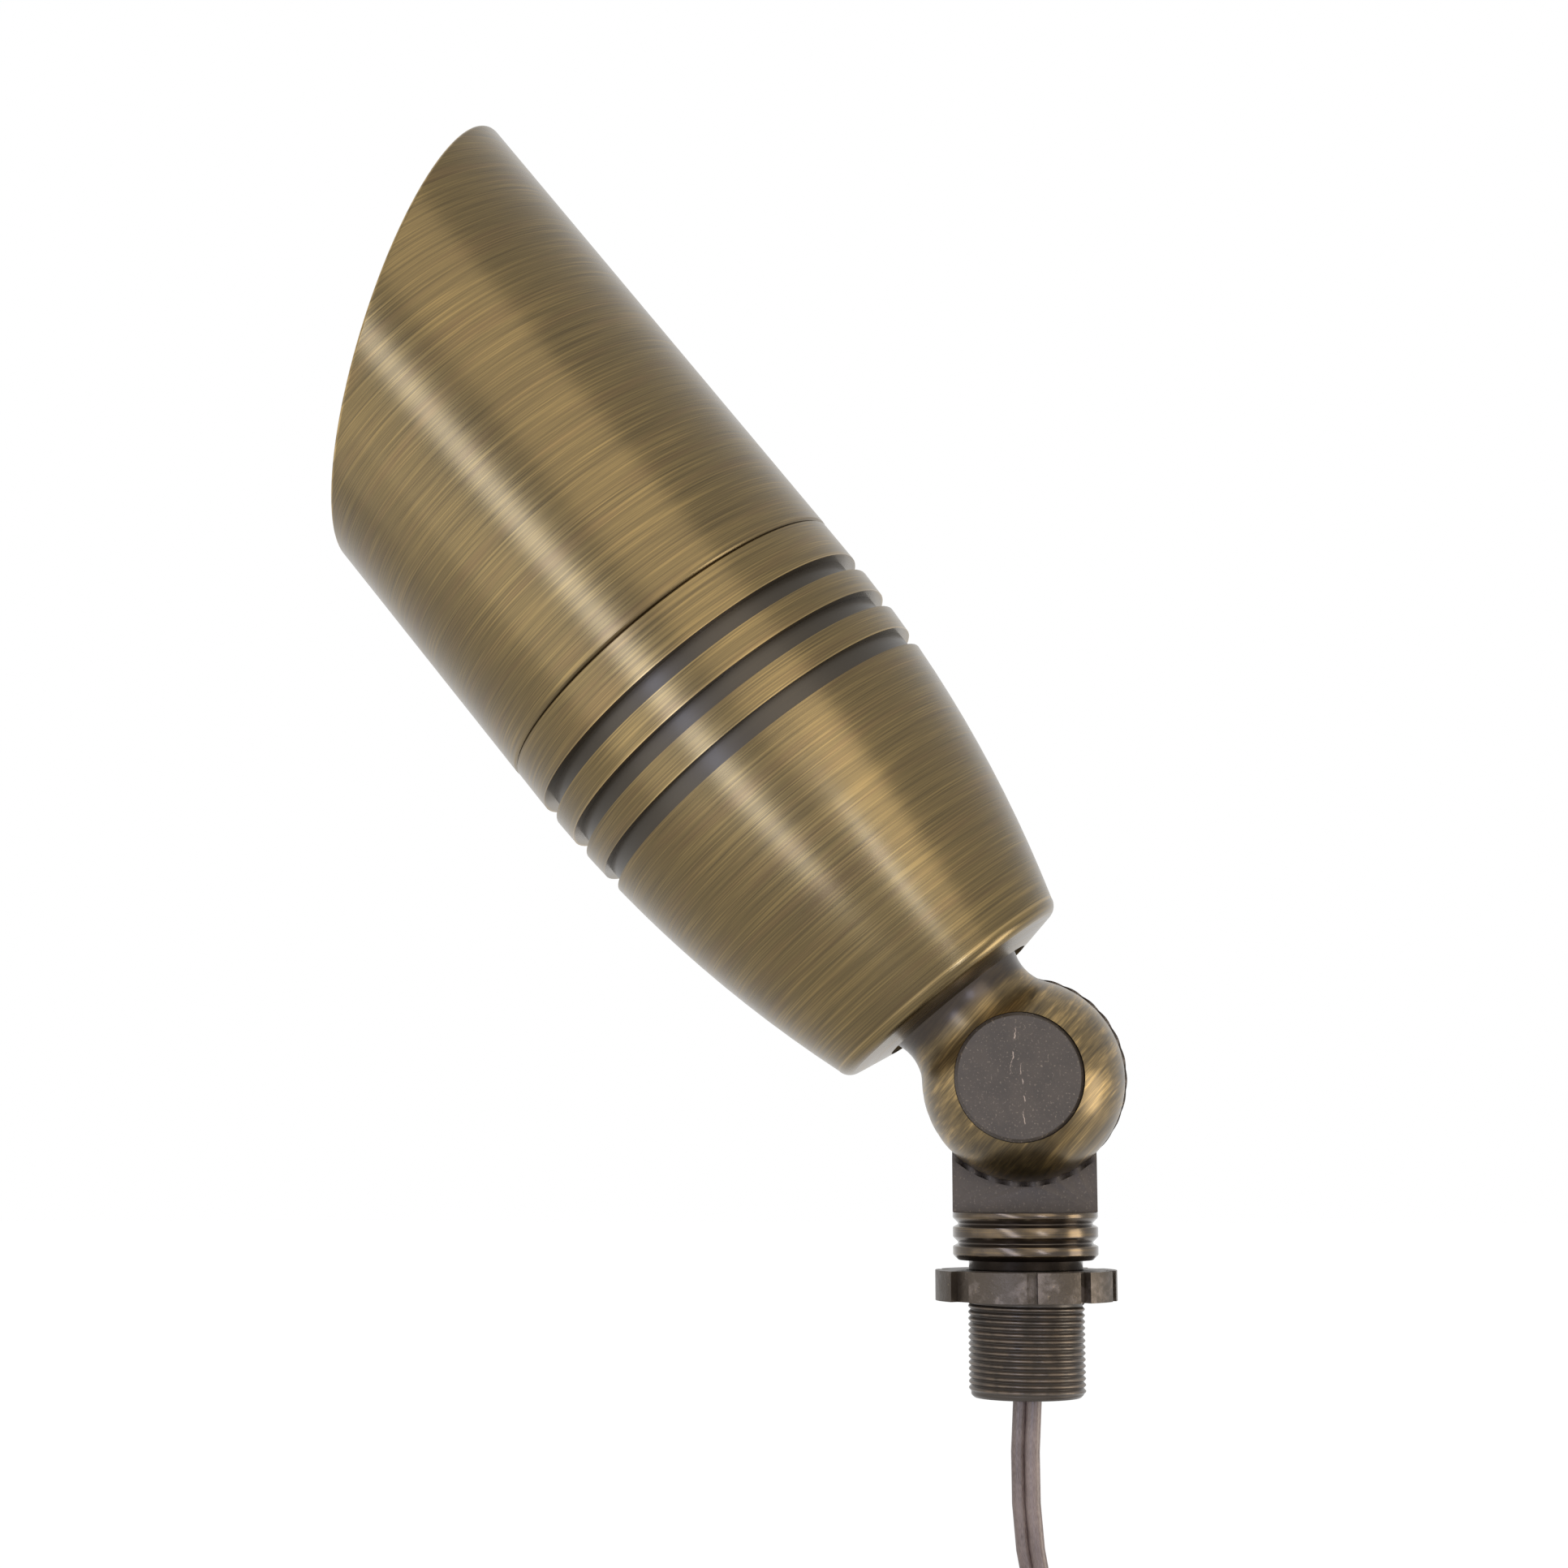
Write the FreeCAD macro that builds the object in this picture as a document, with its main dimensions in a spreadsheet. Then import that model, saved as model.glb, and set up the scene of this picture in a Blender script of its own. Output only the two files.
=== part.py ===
import FreeCAD, Part
import math
import os
import Sketcher
from FreeCAD import Placement, Rotation, Vector

# Landscape spotlight with a slant-cut glare shield, a ball knuckle and a threaded nipple.
# The origin is on the stem's axis, in the plane of the locknut's seat, with +Z up.
# The knuckle's hinge axis is parallel to Y. The head's own frame has its origin on the hinge and
# +Z along the lamp's axis, so a head piece is drawn upright and tilted by its placement.

DIMENSIONS = {
    # knuckle
    "hinge_height": 37.6,
    "rest_tilt": 38.7,
    "ball_radius": 17.6,
    "cheek_radius": 17.6,
    "cheek_depth": 14.5,
    "cheek_offset_x": 0.4,
    "cheek_offset_z": 0.3,
    "parting_gap": 0.1,
    "neck_waist_radius": 12.5,
    "neck_waist_height": 15.2,
    "neck_top": 19.2,
    "boss_radius": 8.0,
    "boss_top": 34.0,
    # serrated faces
    "tooth_count": 30,
    "tooth_inner_radius": 13.0,
    "tooth_outer_radius": 18.4,
    "tooth_slope": 0.088,
    "tooth_depth_slope": 0.075,
    # pivot
    "cap_radius": 10.95,
    "cap_offset": 0.85,
    "cap_face": 14.2,
    "cap_seat": 11.3,
    "cap_bevel": 0.55,
    "cap_groove_floor": 9.85,
    "cap_ring_section": 0.55,
    "cap_skirt": 0.5,
    "screw_radius": 4.0,
    "screw_head_radius": 6.5,
    "screw_head_top": 11.0,
    "screw_head_base": 6.95,
    "screw_end": 12.0,
    "screw_socket": 5.0,
    "screw_socket_depth": 2.4,
    "screw_bore_radius": 7.2,
    "washer_thickness": 1.2,
    "washer_seat": 5.7,
    "washer_bore_radius": 4.2,
    "washer_radius": 6.8,
    "running_gap": 0.05,
    "chamber_inner": 5.5,
    "chamber_outer": 9.6,
    "head_chamber_depth": 3.0,
    "stem_chamber_depth": 5.1,
    "knuckle_ring_radius": 11.4,
    "knuckle_ring_section": 0.75,
    "wireway_radius": 2.6,
    "wireway_overlap": 0.5,
    "head_wireway_offset": 4.2,
    "stem_wireway_offset": 5.2,
    "lead_radius": 1.1,
    "lead_spacing": 2.5,
    "lead_end_gap": 1.0,
    # stem
    "bar_radius": 12.5,
    "block_foot": 22.7,
    "block_top": 8.0,
    "top_ring": 0.9,
    "middle_ring": 1.65,
    "foot_ring": 1.45,
    "ring_taper": 0.9,
    "ring_gap": 0.25,
    "ring_shoulder": 0.45,
    "ring_groove_radius": 11.6,
    "stem_neck_radius": 9.8,
    "thread_radius": 10.0,
    "nipple_end": 53.9,
    "nipple_bore": 7.0,
    "nipple_bore_top": 30.0,
    "nipple_chamfer": 0.5,
    "bushing_length": 8.5,
    "nut_radius": 15.6,
    "nut_thickness": 5.1,
    "nut_countersink_radius": 10.4,
    "nut_countersink_depth": 0.7,
    "nut_notch_depth": 1.7,
    # rear housing
    "recess_radius": 15.0,
    "back_height": 17.9,
    "back_radius": 22.4,
    "back_rise": 19.3,
    "rim_radius": 24.05,
    "rim_height": 21.4,
    "rim_round": 2.6,
    "body_radius": 35.5,
    "body_height": 93.4,
    "ogive_radius": 232.0,
    "seam": 98.8,
    "edge_break": 0.4,
    "tail_thickness": 6.3,
    "cavity_tail_radius": 20.3,
    "cavity_radius": 30.0,
    "cavity_shoulder": 84.0,
    "cavity_ogive": 176.0,
    "groove_foot": 70.7,
    "groove_width": 3.5,
    "groove_pitch": 8.2,
    "groove_floor_radius": 33.2,
    "neck_gasket_outer": 13.0,
    "neck_gasket_thickness": 0.8,
    "lock_nut_flats": 22.0,
    "lock_nut_height": 5.0,
    "spigot_radius": 33.0,
    "spigot_top": 112.0,
    "seal_height": 102.5,
    "seal_pitch": 5.0,
    "seal_section": 0.9,
    # lens and shield
    "shield_radius": 35.6,
    "shield_bore": 33.6,
    "lip_radius": 30.0,
    "lip_foot": 120.0,
    "lip_thickness": 2.5,
    "lens_radius": 32.6,
    "lens_foot": 115.5,
    "lens_thickness": 3.5,
    "gasket_inner": 30.6,
    "gasket_thickness": 0.9,
    "retainer_inner": 30.3,
    "retainer_outer": 32.9,
    "retainer_foot": 113.3,
    "spanner_slot_width": 3.0,
    "spanner_slot_depth": 1.0,
    "cut_height": 174.4,
    "cut_slope": 0.634,
    "rim_fillet": 0.5,
    # lamp
    "lamp_seat_inner": 25.05,
    "lamp_seat_foot": 101.0,
    "lamp_rim_foot": 105.0,
    "lamp_rim_top": 107.5,
    "lamp_rim_radius": 25.35,
    "lamp_neck_foot": 68.8,
    "lamp_base_foot": 60.3,
    "lamp_base_length": 14.0,
    "lamp_base_width": 9.0,
    "lamp_base_bevel": 1.5,
    "reflector_neck_radius": 7.5,
    "reflector_curve": 42.0,
    "reflector_wall": 1.4,
    "reflector_step": 0.6,
    "capsule_radius": 4.5,
    "capsule_top": 90.0,
    "cover_glass_thickness": 2.0,
    "pin_spacing": 5.33,
    "pin_radius": 0.75,
    "pin_depth": 8.0,
    "pin_end_gap": 0.5,
    # lamp socket and bracket
    "socket_foot": 47.0,
    "socket_top": 60.0,
    "socket_length": 15.0,
    "socket_width": 12.0,
    "socket_flange_length": 28.0,
    "socket_flange_height": 3.0,
    "socket_screw_spacing": 22.0,
    "small_screw_radius": 1.5,
    "small_screw_tail": 2.0,
    "small_head_radius": 2.55,
    "small_head_height": 1.8,
    "screw_hole_radius": 1.6,
    "bracket_span": 31.0,
    "bracket_width": 20.0,
    "bracket_gauge": 1.5,
    "ear_length": 7.0,
    # cord
    "cord_width": 5.0,
    "cord_start": 15.8,
    "cord_drop": 50.0,
    "cord_reach": 45.0,
    "coil_outer": 32.5,
    "coil_inner": 17.5,
    "coil_height": 6.5,
    "coil_run_in": 17.5,
}


class Size:
    """A number together with the sheet expression that gives it."""

    def __init__(self, value, text, driven=True):
        self.value = value
        self.text = text
        self.driven = driven

    def joined(self, sign, other, value):
        other = size_of(other)
        return Size(value, f"({self.text} {sign} {other.text})", self.driven or other.driven)

    def __add__(self, other):
        return self.joined("+", other, self.value + size_of(other).value)

    def __sub__(self, other):
        return self.joined("-", other, self.value - size_of(other).value)

    def __mul__(self, other):
        return self.joined("*", other, self.value * size_of(other).value)

    def __truediv__(self, other):
        return self.joined("/", other, self.value / size_of(other).value)

    def __neg__(self):
        return self * -1

    def root(self):
        return Size(math.sqrt(self.value), f"sqrt({self.text})", self.driven)


def size_of(thing):
    """Return a plain number as a Size, and a Size as it is."""
    if isinstance(thing, Size):
        return thing
    return Size(float(thing), f"({float(thing)})", False)


class Sizes:
    """The driving dimensions, each read as an attribute."""

    def __init__(self, sheet, table):
        for row, (alias, value) in enumerate(table.items(), start=1):
            sheet.set(f"A{row}", alias)
            sheet.set(f"B{row}", str(value))
            sheet.setAlias(f"B{row}", alias)
            setattr(self, alias, Size(value, f"{sheet.Name}.{alias}"))


doc = FreeCAD.newDocument("spotlight")
sheet = doc.addObject("Spreadsheet::Sheet", "sizes")
d = Sizes(sheet, DIMENSIONS)
doc.recompute()

# how far a cutting tool reaches past what it cuts
MARGIN = 1.0
# share of the shorter run beside a bend of the cord that the bend may take
BEND_SHARE = 0.45
# place in degrees about +Z and width of each notch in the locknut's rim
NUT_NOTCHES = (
    (-137, 4.4),
    (-87, 1.8),
    (-51, 2.2),
    (-17, 2.2),
    (37, 4.4),
    (91, 1.8),
    (127, 2.2),
    (163, 2.2),
)
AXIS_TURNS = {
    "X": Rotation(Vector(0, 1, 0), 90),
    "Y": Rotation(Vector(1, 0, 0), -90),
    "Z": Rotation(),
}


def bind(thing, **sizes):
    """Drive properties of an object from the sheet."""
    for name, size in sizes.items():
        thing.setExpression(name, size_of(size).text)


def move(thing, x=0, y=0, z=0):
    """Place an object by three sizes."""
    for letter, size in zip("xyz", (x, y, z)):
        thing.setExpression(f"Placement.Base.{letter}", size_of(size).text)


def tilt_with_head(piece):
    """Carry a piece from the head's own frame to the row's frame at rest."""
    axis = Vector(0, -1, 0)
    piece.Placement = Placement(Vector(), Rotation(axis, d.rest_tilt.value))
    piece.setExpression("Placement.Rotation.Angle", d.rest_tilt.text)
    move(piece, z=d.hinge_height)
    return piece


def lift_to_hinge(piece):
    """Carry a piece drawn about the hinge to its height on the stem."""
    move(piece, z=d.hinge_height)
    return piece


def cylinder(label, radius, length, axis="Z", x=0, y=0, z=0):
    """Solid cylinder whose first end stands at x, y, z."""
    piece = doc.addObject("Part::Cylinder", label)
    piece.Placement = Placement(Vector(), AXIS_TURNS[axis])
    bind(piece, Radius=radius, Height=length)
    move(piece, x, y, z)
    return piece


def cone(label, foot_radius, top_radius, height, z=0):
    """Cone frustum about Z that stands on z."""
    piece = doc.addObject("Part::Cone", label)
    bind(piece, Radius1=foot_radius, Radius2=top_radius, Height=height)
    move(piece, z=z)
    return piece


def box(label, length, width, height, x=0, y=0, z=0):
    """Box centred on x and y that stands on z."""
    piece = doc.addObject("Part::Box", label)
    bind(piece, Length=length, Width=width, Height=height)
    move(piece, size_of(x) - size_of(length) / 2, size_of(y) - size_of(width) / 2, z)
    return piece


def torus(label, radius, section, axis="Z", y=0, z=0):
    """O-ring about an axis."""
    piece = doc.addObject("Part::Torus", label)
    piece.Placement = Placement(Vector(), AXIS_TURNS[axis])
    bind(piece, Radius1=radius, Radius2=section)
    move(piece, 0, y, z)
    return piece


def cut(label, base, tools):
    """Take one or more tools out of a base."""
    piece = doc.addObject("Part::Cut", label)
    piece.Base = base
    piece.Tool = tools[0] if len(tools) == 1 else group(label + "_tools", tools)
    return piece


def fuse(label, pieces):
    """Join pieces into one solid."""
    piece = doc.addObject("Part::MultiFuse", label)
    piece.Shapes = pieces
    return piece


def group(label, pieces):
    """Keep like pieces together as separate solids."""
    piece = doc.addObject("Part::Compound", label)
    piece.Links = pieces
    return piece


def new_body(label):
    """Empty body for features."""
    return doc.addObject("PartDesign::Body", label)


def origin_feature(body, role):
    """Plane or axis of a body's own origin."""
    return next(part for part in body.Origin.OriginFeatures if part.Role == role)


def new_sketch(body, name, role, offset=0):
    """Sketch on a plane of the body's origin, moved along the plane's normal."""
    sketch = body.newObject("Sketcher::SketchObject", name)
    sketch.AttachmentSupport = [(origin_feature(body, role), "")]
    sketch.MapMode = "FlatFace"
    sketch.setExpression("AttachmentOffset.Base.z", size_of(offset).text)
    return sketch


def arc_middle(start, finish, radius, side):
    """Middle of the short arc whose centre is left (1) or right (-1) of the way."""
    chord = finish - start
    left = Vector(-chord.y, chord.x, 0).normalize()
    height = math.sqrt(radius**2 - (chord.Length / 2) ** 2)
    return (start + finish) / 2 + left * side * (height - radius)


def draw_outline(sketch, corners, arcs=None):
    """Draw a closed outline; arcs maps an edge's number to its radius and side."""
    arcs = arcs or {}
    corners = [(size_of(x), size_of(y)) for x, y in corners]
    points = [Vector(x.value, y.value, 0) for x, y in corners]
    edges = []
    for number, start in enumerate(points):
        finish = points[(number + 1) % len(points)]
        forward = True
        shape = Part.LineSegment(start, finish)
        if number in arcs:
            radius, side = arcs[number]
            middle = arc_middle(start, finish, size_of(radius).value, side)
            forward = side > 0
            shape = Part.Arc(start, middle, finish) if forward else Part.Arc(finish, middle, start)
        edge = sketch.addGeometry(shape, False)
        edges.append((edge, 1, 2) if forward else (edge, 2, 1))
    for number, (edge, first, last) in enumerate(edges):
        after, after_first, _ = edges[(number + 1) % len(edges)]
        sketch.addConstraint(Sketcher.Constraint("Coincident", edge, last, after, after_first))
        for kind, size in zip(("DistanceX", "DistanceY"), corners[number]):
            fixed = Sketcher.Constraint(kind, -1, 1, edge, first, size.value)
            drive(sketch, sketch.addConstraint(fixed), size)
        if number in arcs:
            radius = size_of(arcs[number][0])
            fixed = Sketcher.Constraint("Radius", edge, radius.value)
            drive(sketch, sketch.addConstraint(fixed), radius)


def drive(sketch, number, size):
    """Drive a sketch's constraint from the sheet."""
    if size.driven:
        sketch.setExpression(f"Constraints[{number}]", size.text)


def circle_outline(sketch, radius, x=0, y=0):
    """Draw a full circle."""
    radius, x, y = size_of(radius), size_of(x), size_of(y)
    edge = sketch.addGeometry(Part.Circle(Vector(x.value, y.value, 0), Vector(0, 0, 1), radius.value))
    places = (("DistanceX", x), ("DistanceY", y))
    for kind, size in places:
        fixed = Sketcher.Constraint(kind, -1, 1, edge, 3, size.value)
        drive(sketch, sketch.addConstraint(fixed), size)
    drive(sketch, sketch.addConstraint(Sketcher.Constraint("Radius", edge, radius.value)), radius)


def turned(body, name, kind, corners, arcs=None, axis="Z"):
    """Revolve an outline about the body's Z axis (radius, height) or Y axis (depth, radius)."""
    role, line = ("XZ_Plane", "V_Axis") if axis == "Z" else ("YZ_Plane", "H_Axis")
    sketch = new_sketch(body, name + "_outline", role)
    draw_outline(sketch, corners, arcs)
    feature = body.newObject("PartDesign::" + kind, name)
    feature.Profile = sketch
    feature.ReferenceAxis = (sketch, [line])
    feature.Angle = 360
    return feature


def extruded(body, name, kind, sketch, length, side="One side", reverse=False):
    """Pad or pocket a sketch along its plane's normal."""
    feature = body.newObject("PartDesign::" + kind, name)
    feature.Profile = sketch
    feature.SideType = side
    feature.Reversed = reverse
    bind(feature, Length=length)
    return feature


def repeated_along(body, name, feature, span, count):
    """Repeat a feature up the body's Z axis over a span."""
    pattern = body.newObject("PartDesign::LinearPattern", name)
    pattern.Originals = [feature]
    pattern.Direction = (origin_feature(body, "Z_Axis"), [""])
    pattern.Occurrences = count
    bind(pattern, Length=span)
    body.Tip = pattern
    return pattern


def turned_piece(label, corners, arcs=None, axis="Z"):
    """Piece made by one revolved outline."""
    body = new_body(label)
    turned(body, label + "_turning", "Revolution", corners, arcs, axis)
    return body


def ring(label, inner, outer, foot, top, axis="Z"):
    """Flat ring between two heights."""
    corners = [(inner, foot), (outer, foot), (outer, top), (inner, top)]
    if axis == "Y":
        corners = [(height, radius) for radius, height in corners]
    return turned_piece(label, corners, axis=axis)


# ---------------------------------------------------------------- serrated knuckle faces


def tooth_space_outline(sketch, radius, face, inward):
    """V section of a tooth space at a radius, opened a little beyond the face."""
    slack = d.parting_gap * 2
    half_width = radius * d.tooth_slope
    depth = radius * d.tooth_depth_slope
    lip = half_width + slack * d.tooth_slope / d.tooth_depth_slope
    outside = face - slack * inward
    draw_outline(sketch, [(-lip, outside), (lip, outside), (0, face + depth * inward)])


def cut_serrations(body, face, inward):
    """Cut the radial tooth spaces that lock the knuckle: sections that grow with the radius."""
    inner = new_sketch(body, "tooth_space_inner", "XY_Plane", -d.tooth_inner_radius)
    tooth_space_outline(inner, d.tooth_inner_radius, face, inward)
    outer = new_sketch(body, "tooth_space_outer", "XY_Plane", -d.tooth_outer_radius)
    tooth_space_outline(outer, d.tooth_outer_radius, face, inward)
    space = body.newObject("PartDesign::SubtractiveLoft", "tooth_space")
    space.Profile = inner
    space.Sections = [outer]
    space.Ruled = True
    pattern = body.newObject("PartDesign::PolarPattern", "tooth_spaces")
    pattern.Originals = [space]
    pattern.Axis = (origin_feature(body, "Y_Axis"), [""])
    pattern.Angle = 360
    bind(pattern, Occurrences=d.tooth_count)
    body.Tip = pattern


# ---------------------------------------------------------------- stem


def make_knuckle_stem():
    """Cheek with its serrated face, half-round block, ringed stem and hollow nipple in one casting."""
    body = new_body("knuckle_stem")
    bore = d.nipple_bore
    end = -d.nipple_end
    groove = d.ring_groove_radius
    top = -d.block_foot
    corners = [(0, -d.block_top), (d.bar_radius, -d.block_top)]
    for height in (d.top_ring, d.middle_ring):
        taper_foot = top - height - d.ring_taper
        groove_foot = taper_foot - d.ring_gap
        corners += [
            (d.bar_radius, top - height),
            (groove, taper_foot),
            (groove, groove_foot),
            (d.bar_radius, groove_foot - d.ring_shoulder),
        ]
        top = groove_foot - d.ring_shoulder
    ring_foot = top - d.foot_ring - d.ring_taper
    corners += [
        (d.bar_radius, top - d.foot_ring),
        (groove, ring_foot),
        (d.stem_neck_radius, ring_foot),
        (d.stem_neck_radius, -d.hinge_height),
        (d.thread_radius, -d.hinge_height),
        (d.thread_radius, end + d.nipple_chamfer),
        (d.thread_radius - d.nipple_chamfer, end),
        (bore, end),
        (bore, -d.nipple_bore_top),
        (0, -d.nipple_bore_top),
    ]
    turned(body, "stem_turning", "Revolution", corners)
    cut_stem_flat(body)
    cheek_edge = (d.cheek_radius * d.cheek_radius - d.parting_gap * d.parting_gap).root()
    cheek_back = (d.cheek_radius * d.cheek_radius - d.cheek_depth * d.cheek_depth).root()
    cheek = [
        (d.parting_gap, 0),
        (d.cheek_depth, 0),
        (d.cheek_depth, cheek_back),
        (d.parting_gap, cheek_edge),
    ]
    cheek_turning = turned(body, "cheek", "Revolution", cheek, {2: (d.cheek_radius, 1)}, axis="Y")
    cheek_outline = cheek_turning.Profile[0]
    cheek_outline.setExpression("AttachmentOffset.Base.z", d.cheek_offset_x.text)
    cheek_outline.setExpression("AttachmentOffset.Base.y", d.cheek_offset_z.text)
    bore_radius = d.screw_radius + d.running_gap
    bore_end = d.screw_end + MARGIN
    screw_bore = [(-MARGIN, 0), (bore_end, 0), (bore_end, bore_radius), (-MARGIN, bore_radius)]
    turned(body, "screw_bore", "Groove", screw_bore, axis="Y")
    cut_annulus(body, "wire_chamber", d.chamber_inner, d.chamber_outer, d.stem_chamber_depth)
    seal_half = d.knuckle_ring_section + d.running_gap
    seal_inner = d.knuckle_ring_radius - seal_half
    seal_outer = d.knuckle_ring_radius + seal_half
    cut_annulus(body, "seal_groove", seal_inner, seal_outer, d.parting_gap + seal_half * 2)
    wireway = new_sketch(body, "wireway_outline", "XY_Plane", -d.nipple_bore_top - MARGIN)
    circle_outline(wireway, d.wireway_radius, y=d.stem_wireway_offset)
    reach = d.nipple_bore_top + MARGIN - d.chamber_inner - d.wireway_overlap
    extruded(body, "wireway", "Pocket", wireway, reach, reverse=True)
    cut_serrations(body, d.parting_gap, 1)
    return lift_to_hinge(body)


def cut_stem_flat(body):
    """Mill the block's front away down to the first ring, flush with the serrated face."""
    flat = new_sketch(body, "flat_outline", "XZ_Plane", -d.parting_gap)
    side = d.bar_radius + MARGIN
    draw_outline(flat, [(-side, -d.block_foot), (side, -d.block_foot), (side, 0), (-side, 0)])
    extruded(body, "block_flat", "Pocket", flat, d.bar_radius + MARGIN, reverse=True)


def cut_annulus(body, name, inner, outer, floor):
    """Sink a ring-shaped recess into the parting face, about the hinge axis."""
    open_end = -MARGIN * size_sign(floor)
    corners = [(open_end, inner), (floor, inner), (floor, outer), (open_end, outer)]
    turned(body, name, "Groove", corners, axis="Y")


def size_sign(size):
    """Side of the parting plane that a size lies on."""
    return math.copysign(1, size_of(size).value)


def make_locknut():
    """Cast locknut with a countersunk bore, its rim broken by notches into lugs of two widths."""
    blank = cylinder("nut_blank", d.nut_radius, d.nut_thickness)
    through = d.nut_thickness + MARGIN * 2
    bore = d.stem_neck_radius + d.running_gap
    wide = d.nut_countersink_radius
    sink = d.nut_countersink_depth
    tools = [
        cylinder("nut_bore", bore, through, z=-MARGIN),
        cone("lower_countersink", wide, bore, sink),
        cone("upper_countersink", bore, wide, sink, z=d.nut_thickness - sink),
    ]
    depth = d.nut_notch_depth + MARGIN
    place = d.nut_radius - d.nut_notch_depth + depth / 2
    for number, (angle, width) in enumerate(NUT_NOTCHES):
        notch = box(f"nut_notch_{number}", depth, width, through, x=place, z=-MARGIN)
        turned_notch = group(f"turned_notch_{number}", [notch])
        turned_notch.Placement = Placement(Vector(), Rotation(Vector(0, 0, 1), angle))
        tools.append(turned_notch)
    return cut("locknut", blank, tools)


def make_cable_bushing():
    """Sealing plug that holds the cord in the nipple's mouth."""
    radius = d.nipple_bore - d.running_gap
    return cylinder("cable_bushing", radius, d.bushing_length, z=-d.cord_start)


def make_supply_leads():
    """Two insulated leads from the bushing up to the knuckle's wire chamber."""
    foot = d.bushing_length - d.cord_start
    length = d.hinge_height - d.chamber_inner - d.lead_end_gap - foot
    leads = []
    for side in (-1, 1):
        lead = cylinder(
            f"supply_lead_{side}",
            d.lead_radius,
            length,
            x=d.lead_spacing / 2 * side,
            y=d.stem_wireway_offset,
            z=foot,
        )
        leads.append(lead)
    return group("supply_leads", leads)


def make_knuckle_o_ring():
    """Face seal between the knuckle's halves."""
    section = d.knuckle_ring_section
    depth = d.parting_gap + section + d.running_gap
    return torus("knuckle_o_ring", d.knuckle_ring_radius, section, "Y", depth, d.hinge_height)


# ---------------------------------------------------------------- knuckle, head half


def neck_fillet_radius():
    """Radius of the concave neck that meets the ball and reaches its waist in tangency."""
    waist = d.neck_waist_radius
    height = d.neck_waist_height
    rise = height * height + waist * waist - d.ball_radius * d.ball_radius
    return rise / ((d.ball_radius - waist) * 2)


def make_knuckle_head():
    """Half ball and neck, turned about the lamp's axis, with a boss that passes into the housing."""
    body = new_body("knuckle_head")
    ball = d.ball_radius
    fillet = neck_fillet_radius()
    share = ball / (ball + fillet)
    centre_radius = d.neck_waist_radius + fillet
    joint = (centre_radius * share, d.neck_waist_height * share)
    above = d.neck_top - d.neck_waist_height
    neck_top_radius = centre_radius - (fillet * fillet - above * above).root()
    corners = [
        (0, -ball),
        (ball, 0),
        joint,
        (neck_top_radius, d.neck_top),
        (d.boss_radius, d.neck_top),
        (d.boss_radius, d.boss_top),
        (0, d.boss_top),
    ]
    arcs = {0: (ball, 1), 1: (ball, 1), 2: (fillet, -1)}
    turned(body, "ball_and_neck", "Revolution", corners, arcs)
    cut_head_lap(body)
    bore = d.screw_radius + d.running_gap
    front = -d.ball_radius - MARGIN
    pivot = [
        (front, 0),
        (MARGIN, 0),
        (MARGIN, bore),
        (-d.washer_seat, bore),
        (-d.washer_seat, d.screw_bore_radius),
        (front, d.screw_bore_radius),
    ]
    turned(body, "pivot_bore", "Groove", pivot, axis="Y")
    tilt = math.radians(d.rest_tilt.value)
    seat = new_sketch(body, "cap_seat_outline", "XZ_Plane", d.cap_seat)
    across = d.cap_offset * -math.cos(tilt)
    along = d.cap_offset * math.sin(tilt)
    circle_outline(seat, d.cap_radius + d.running_gap * 2, across, along)
    extruded(body, "cap_seat", "Pocket", seat, d.ball_radius, reverse=True)
    cut_annulus(body, "wire_chamber", d.chamber_inner, d.chamber_outer, -d.head_chamber_depth)
    wireway = new_sketch(body, "wireway_outline", "XY_Plane", d.boss_top + MARGIN)
    circle_outline(wireway, d.wireway_radius, y=-d.head_wireway_offset)
    reach = d.boss_top + MARGIN - d.screw_bore_radius - d.wireway_overlap
    extruded(body, "wireway", "Pocket", wireway, reach)
    cut_serrations(body, -d.parting_gap, -1)
    return tilt_with_head(body)


def cut_head_lap(body):
    """Take away the rear half below the neck's top, where the stem's cheek goes."""
    lap = new_sketch(body, "lap_outline", "XZ_Plane", d.parting_gap)
    side = d.ball_radius + MARGIN
    draw_outline(lap, [(-side, -side), (side, -side), (side, d.neck_top), (-side, d.neck_top)])
    extruded(body, "lap", "Pocket", lap, side)


def make_pivot_screw():
    """Cap screw that clamps the knuckle, with a hexagonal socket."""
    body = new_body("pivot_screw")
    chamfer = d.edge_break
    corners = [
        (-d.screw_head_top, 0),
        (-d.screw_head_top, d.screw_head_radius - chamfer),
        (chamfer - d.screw_head_top, d.screw_head_radius),
        (-d.screw_head_base, d.screw_head_radius),
        (-d.screw_head_base, d.screw_radius),
        (d.screw_end - chamfer, d.screw_radius),
        (d.screw_end, d.screw_radius - chamfer),
        (d.screw_end, 0),
    ]
    turned(body, "screw_turning", "Revolution", corners, axis="Y")
    socket = new_sketch(body, "socket_outline", "XZ_Plane", d.screw_head_top)
    draw_outline(socket, hexagon(d.screw_socket))
    extruded(body, "hex_socket", "Pocket", socket, d.screw_socket_depth)
    return lift_to_hinge(body)


def hexagon(across_flats):
    """Corners of a hexagon with two flats parallel to the sketch's y axis."""
    half = across_flats / 2
    corner = across_flats / math.sqrt(3)
    return [
        (half, -corner / 2),
        (half, corner / 2),
        (0, corner),
        (-half, corner / 2),
        (-half, -corner / 2),
        (0, -corner),
    ]


def make_pivot_washer():
    """Spring washer under the screw's head."""
    seat = -d.washer_seat
    front = seat - d.washer_thickness
    return lift_to_hinge(ring("pivot_washer", d.washer_bore_radius, d.washer_radius, front, seat, "Y"))


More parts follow.
